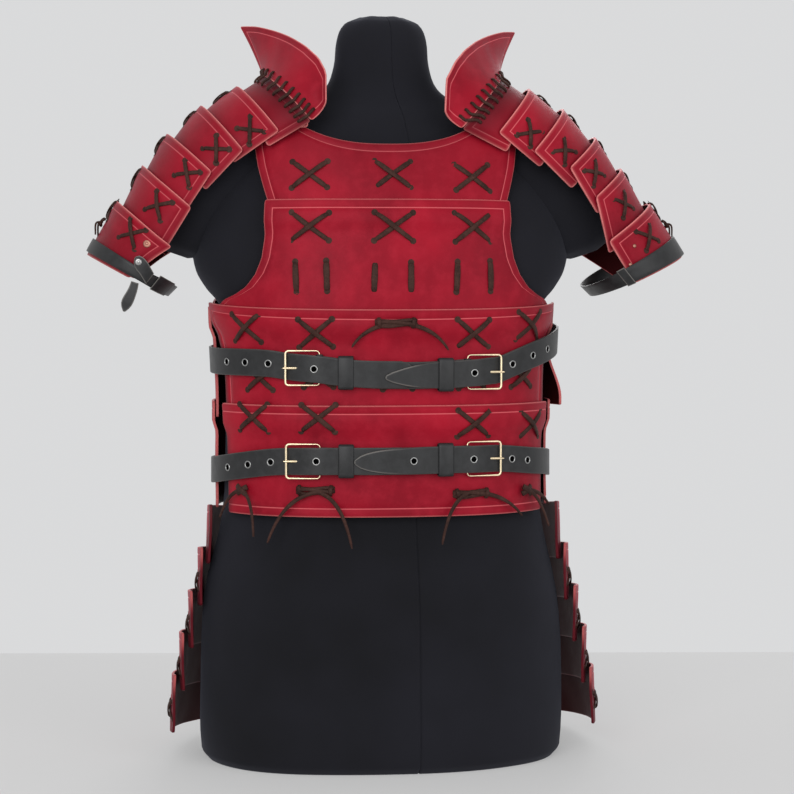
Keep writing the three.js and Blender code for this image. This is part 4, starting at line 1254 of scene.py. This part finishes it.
for word in ("left", "right"):
    above = "back_lame_4"
    for index in range(5):
        place = hipPlace(index, word)
        name = f"hip_lame_{index + 1}_{word}"
        leatherPanel(name, place, wall, "red", ("left", "right", "bottom"), held=("hung", [above]),
                     look={"groove": 10, "rim": hipLitEdge, "shade": hipShade(index)})
        above = name
        for u in hipCrosses["across"] if index else ():
            crossing(place, u, hipCrosses["down"], hipCrosses["half"])

# places of the eyelets along each belt
eyelets = {
    "upper_left": [0.290, 0.352, 0.422, 0.688],
    "upper_right": [0.657, 0.438, 0.352, 0.292],
    "lower_left": [0.288, 0.357, 0.427, 0.698],
    "lower_right": [0.835, 0.588, 0.365, 0.307],
}
beltLook = {"step": (8, 7), "corner": 3, "rounding": 0.01, "bevel": 1.0, "wave": 0}
# pale cut edges of the straps: their own colour, brightened at the right strap's tip as a painted highlight
beltEdgeAndHighlight = {"left": 0.2, "centre": 0.2, "right": lambda u, v: 0.2 + 0.8 * ease((u - 0.86) / 0.06)}
for name in belts:
    place = beltPlace(name)
    kind = name.split("_")[1]
    isCentre = kind == "centre"
    leatherPanel("belt_" + name, place, strapWall, "black",
                 look={**beltLook, "samples": (61 if isCentre else 321, 9), "rim": beltEdgeAndHighlight[kind]})
    for v in () if isCentre else (0.27, 0.73):     # rivets that hold the strap to the back plate
        for u in (0.022, 0.062):
            dome(studHeap, place, u, v, strapWall, 3.4, 1.5)
    for u in eyelets.get(name, ()):
        eyelet(silverHeap, eyeletShadeHeap, place, u, 0.5, strapWall)

buckle = {"height": 47, "bar": 3.0, "bend": 5, "outerOff": 14.2, "heelOff": 9.6, "fold": 4.9, "slot": 8, "prong": 1.7,
          "over": 3.4}
keeper = {"width": 20, "height": 39.5, "low": 6.2, "high": 14.3, "wall": 2}


def barPoint(item, angle, off, reach):
    return bodyPoint(bodyRows, math.radians(angle), item["z"], off) + np.array([0, 0, reach])


def wireLoop(heap, points, out, radii):
    points = np.asarray(points, float)
    heading = unit(np.roll(points, -1, 0) - np.roll(points, 1, 0))
    across = unit(np.cross(heading, out))
    up = unit(np.cross(across, heading))
    turns = fullTurn(12)
    addTube(heap, [[p + a * r * np.cos(t) + u * r * np.sin(t) for t in turns]
                   for p, a, u, r in zip(points, across, up, radii)], closed=True)


def rod(heap, a, b, radii, out):
    heading = unit(b - a)
    across = unit(np.cross(heading, out))
    up = unit(np.cross(across, heading))
    turns = fullTurn(12)
    addTube(heap, [[a + (b - a) * s + (across * np.cos(t) + up * np.sin(t)) * r for t in turns] for s, r in radii])


for word, item in fastenings.items():
    heap = newHeap()
    high = buckle["height"] / 2 - buckle["bar"] / 2
    corners = [barPoint(item, item[bar], buckle[bar + "Off"], reach)
               for bar, reach in (("heel", -high), ("outer", -high), ("outer", high), ("heel", high))]
    out = unit(bodyPoint(bodyRows, math.radians(item["heel"]), item["z"], 1)
               - bodyPoint(bodyRows, math.radians(item["heel"]), item["z"], 0))
    line = []
    for k, at in enumerate(corners):
        before, after = corners[k - 1], corners[(k + 1) % 4]
        start = at + unit(before - at) * buckle["bend"]
        end = at + unit(after - at) * buckle["bend"]
        line += list(bezier(start, at, end, np.linspace(0, 1, 9)))
        nextStart = after + unit(at - after) * buckle["bend"]
        line += [mix(end, nextStart, t) for t in (0.33, 0.66)]
    line = np.array(line)
    gone = np.linalg.norm((line - corners[2])[:, :2], axis=1) / np.linalg.norm((corners[3] - corners[2])[:2])
    gone = clamp01(gone)
    wireLoop(heap, line, out, buckle["bar"] / 2 * (1 - 0.42 * gone))
    heel = barPoint(item, item["heel"], buckle["heelOff"] - 5, 0)
    outer = barPoint(item, item["outer"], buckle["outerOff"] + buckle["over"], 0)
    tip = outer + (outer - heel) * 0.06
    rod(heap, heel, tip, [(0, 0.3), (0.01, buckle["prong"]), (0.6, buckle["prong"]), (0.9, buckle["prong"] * 0.85),
                          (0.97, buckle["prong"] * 0.62), (1.0, 0.5)], out)
    finishHeap("buckle_" + word + "_look", heap, "brass", ["buckle_" + word])

    folds = newHeap()
    for low, top in ((-beltWidth / 2, -buckle["slot"] / 2), (buckle["slot"] / 2, beltWidth / 2)):
        a, b = (barPoint(item, item["heel"], buckle["heelOff"], k) for k in (low, top))
        rod(folds, a, b, [(0, buckle["fold"] - 0.7), (0.03, buckle["fold"]), (0.97, buckle["fold"]),
                          (1, buckle["fold"] - 0.7)], out)
    row = word.split("_")[0]
    finishHeap("belt_fold_" + word, folds, "black", [f"belt_{row}_centre"])

    # keeper: rounded box loop
    angle = math.radians(item["keeper"])
    origin = bodyPoint(bodyRows, angle, item["keeperZ"], 0)
    out = bodyPoint(bodyRows, angle, item["keeperZ"], 1) - origin
    run = unit(np.array([-out[1], out[0], 0]))
    up = unit(np.cross(run, out))
    if up[2] < 0:
        up = -up
    tall, low, top = keeper["height"] / 2, keeper["low"], keeper["high"]
    shape = []
    for cx, cy, start in ((tall - 2.5, top - 2.5, 0), (-tall + 2.5, top - 2.5, 90), (-tall + 2.5, low + 2.5, 180),
                          (tall - 2.5, low + 2.5, 270)):
        shape += [(cx, cy, math.radians(start + k * 22.5)) for k in range(5)]
    profile = [(-0.5, 0.2), (-0.48, 0.7), (-0.42, 1), (0.42, 1), (0.48, 0.7), (0.5, 0.2), (0.48, 0), (-0.48, 0)]
    rings = []
    for cx, cy, a in shape:
        ring = []
        for s, t in profile:
            r = 2.5 + t * keeper["wall"]
            corner = up * (cx + r * math.cos(a)) + out * (cy + r * math.sin(a))
            ring.append(origin + corner + run * (s * keeper["width"]))
        rings.append(ring)
    heap = newHeap()
    addTube(heap, rings, closed=True)
    finishHeap("keeper_" + word + "_look", heap, "black", ["keeper_" + word], sharp=60)
print("belts fastened")


# tied lace ends
bows = {
    "bow_hem_1": {"knot": (-185, 370), "tails": [(-205, 332, 13), (-163, 313, 22)], "lift": 0},
    "bow_hem_2": {"knot": (-93, 371), "tails": [(-150, 305, 16), (-50, 300, 17)], "lift": 0},
    "bow_hem_3": {"knot": (102, 369), "tails": [(62, 304, 17), (165, 335, 13)], "lift": 0},
    "bow_hem_4": {"knot": (178, 367), "tails": [(203, 345, 13), (196, 318, 20)], "lift": 0},
    "bow_chest": {"knot": (8, 588), "tails": [(-50, 557, 7), (72, 553, 7)], "lift": 5},
}
laceOff = 6

bars = {"bow_hem_2": (-97, 373, 47), "bow_hem_3": (105, 367, 47), "bow_chest": (6, 588, 51)}
for name, bow in bows.items():
    knot = bow["knot"]
    middle = onFront(*knot, laceOff + bow["lift"])
    out = unit(onFront(*knot, 20) - onFront(*knot, 0))
    heap = newHeap()
    if name in bars:
        x, z, width = bars[name]
        lame = "front_lame_3" if name == "bow_chest" else "front_lame_4"
        place = cuirassPlace(lame)
        woundBar(heap, place, *frontUv(place, x, z), wall + (0.5 if name == "bow_chest" else 0), width)
    else:
        run = unit(np.cross([0, 0, 1.0], out))
        for k, turn in enumerate((0.5, -0.6)):
            strand = run * math.cos(turn) + np.array([0, 0, math.sin(turn)])
            t = np.linspace(-1, 1, 11)
            path = [middle + strand * 9 * s + out * (2.2 * (1 - s * s) - 3.5 + k * 1.4) for s in t]
            addLace(heap, path, [out] * 11, 7.5, 3)
    finishHeap(name + "_knot", heap, "lace", [name])
    for k, (x, z, off) in enumerate(bow["tails"]):
        bend = onFront(mix(knot[0], x, 0.72), mix(knot[1], z, 0.1), mix(laceOff + bow["lift"], off, 0.3))
        end = onFront(x, z, off)
        path = bezier(middle, bend, end, np.linspace(0, 1, 22))
        heading = unit(np.gradient(path, axis=0))
        face = unit(path - np.array([0, 0, 1]) * path[:, 2:3] - np.array([0, 30, 0]))
        side = unit(np.cross(heading, face))
        up = unit(np.cross(side, heading))
        t = np.linspace(0, 1, 22)
        wide = 5.6 * (1 - 0.45 * clamp01((t - 0.45) / 0.55)) * (1 - 0.55 * clamp01((t - 0.96) / 0.04))
        turns = fullTurn(12)
        rings = [[p + s * w / 2 * np.cos(a) + u * 1.5 * np.sin(a) for a in turns]
                 for p, s, u, w in zip(path, side, up, wide)]
        tail = newHeap()
        addTube(tail, rings)
        piece = finishHeap(f"{name}_tail_{k + 1}", tail, "lace", [name])
print("lace ends tied")

# dress form
stub = {"x": [110, 150, 189, 226, 252, 267, 275, 279], "z": [829, 822, 801, 770, 736, 707, 690, 679],
        "r": [66, 68, 68, 66, 61, 55, 45, 20], "key": [0, 1, 2, 3, 4, 5, 6, 7]}
seams = {"angle": (6.2, 180.0), "half": 0.4, "depth": 1.8}    # degrees from the middle of the front


def makeForm():
    heap = newHeap()
    near = np.array([-2, -1, -0.4, 0, 0.4, 1, 2]) * seams["half"]
    angles = np.radians(np.concatenate([np.arange(0, 360, 3.0)] + [near + a for a in seams["angle"]]) % 360)
    angles = np.unique(np.round(angles, 5))
    levels = np.concatenate([np.linspace(a, b, 5)[:-1] for a, b in zip(formRows["z"], formRows["z"][1:])] + [[994]])
    dent = sum(clamp01(1 - np.abs(np.degrees(angles) - a) / seams["half"]) for a in seams["angle"]) * seams["depth"]
    wave = lambda z: 0.5 * np.sin(angles * 7 + z * 0.03)
    addTube(heap, [bodyPoint(formRows, angles, z, wave(z) - dent) for z in levels])
    for sign in (-1, 1):
        keys = np.linspace(0, 7, 36)
        x, z, r = (along(stub, k, keys, "key") for k in ("x", "z", "r"))
        heading = unit(np.stack([np.gradient(x), np.zeros(36), np.gradient(z)], -1))
        turns = fullTurn(48)
        rings = []
        for i in range(36):
            across = np.array([-heading[i, 2], 0, heading[i, 0]])
            around = np.cos(turns)[:, None] * across + np.sin(turns)[:, None] * [0, 1, 0]
            ring = np.array([x[i], 0, z[i]]) + r[i] * around
            rings.append(ring * [sign, 1, 1])
        addTube(heap, rings)
    finishHeap("dress_form_look", heap, "cloth", ["dress_form"], sharp=60)


makeForm()
laced = list(cuirassLames) + [f"{n}_{w}" for w in ("left", "right") for n in armRows]
laced += ["neck_guard_left", "neck_guard_right"]
laced += [f"hip_lame_{i}_{w}" for i in range(1, 6) for w in ("left", "right")]
laced += ["shoulder_strap_left", "shoulder_strap_right"]
finishHeap("lacing", laceHeap, "lace", laced)
finishHeap("lace_holes", laceHoleShadeHeap, "lace", laced)
finishHeap("rivets", rivetHeap, "copper", ["arm_lame_5_left", "arm_lame_5_right"])
finishHeap("strap_studs", studHeap, "silver", ["arm_strap_left"] + [f"belt_{n}" for n in eyelets])
finishHeap("eyelets", silverHeap, "silver", [f"belt_{n}" for n in eyelets])
finishHeap("eyelet_holes", eyeletShadeHeap, "hole", [f"belt_{n}" for n in eyelets])


# floor and light; the pale backdrop is the sky itself
stageLook = {
    "floor": (0.60, 0.60, 0.60),
    "floorGlow": 0.5,
    "floorEnd": 0.70,            # how far behind the armour the floor stops
    "sky": (0.985, 0.99, 1.0),
    "skyStrength": 0.71,
}
lamps = {
    "key": {"at": (-1.1, -2.9, 1.5), "size": 2.0, "power": 50},
    "fill": {"at": (1.9, -2.5, 1.1), "size": 2.0, "power": 24},
    "back": {"at": (0.6, 2.9, 1.9), "size": 2.0, "power": 30},
}


def makeStage():
    turn = math.radians(cameraLook["swing"])
    corners = [(a * math.cos(turn) + b * math.sin(turn), b * math.cos(turn) - a * math.sin(turn), 0)
               for a, b in ((-4, -4), (4, -4), (4, stageLook["floorEnd"]), (-4, stageLook["floorEnd"]))]
    mesh = bpy.data.meshes.new("floor")
    mesh.from_pydata(corners, [], [(0, 1, 2, 3)])
    material = bpy.data.materials.new("floor")
    material.use_nodes = True
    shader = material.node_tree.nodes["Principled BSDF"]
    shader.inputs["Base Color"].default_value = (*(0.5 * c for c in stageLook["floor"]), 1)
    shader.inputs["Roughness"].default_value = 0.9
    shader.inputs["Emission Color"].default_value = (*stageLook["floor"], 1)
    shader.inputs["Emission Strength"].default_value = stageLook["floorGlow"]
    mesh.materials.append(material)
    floor = bpy.data.objects.new("floor", mesh)
    bpy.context.scene.collection.objects.link(floor)
    for name, lamp in lamps.items():
        data = bpy.data.lights.new(name, "AREA")
        data.size, data.energy = lamp["size"], lamp["power"]
        light = bpy.data.objects.new(name, data)
        light.location = lamp["at"]
        light.rotation_euler = (Vector((0, 0, 0.5)) - Vector(lamp["at"])).to_track_quat("-Z", "Y").to_euler()
        bpy.context.scene.collection.objects.link(light)


makeStage()
world = bpy.data.worlds.new("world")
world.use_nodes = True
world.node_tree.nodes["Background"].inputs["Color"].default_value = (*stageLook["sky"], 1)
world.node_tree.nodes["Background"].inputs["Strength"].default_value = stageLook["skyStrength"]
bpy.context.scene.world = world
bpy.context.scene.view_settings.view_transform = "Standard"
print("stage lit")
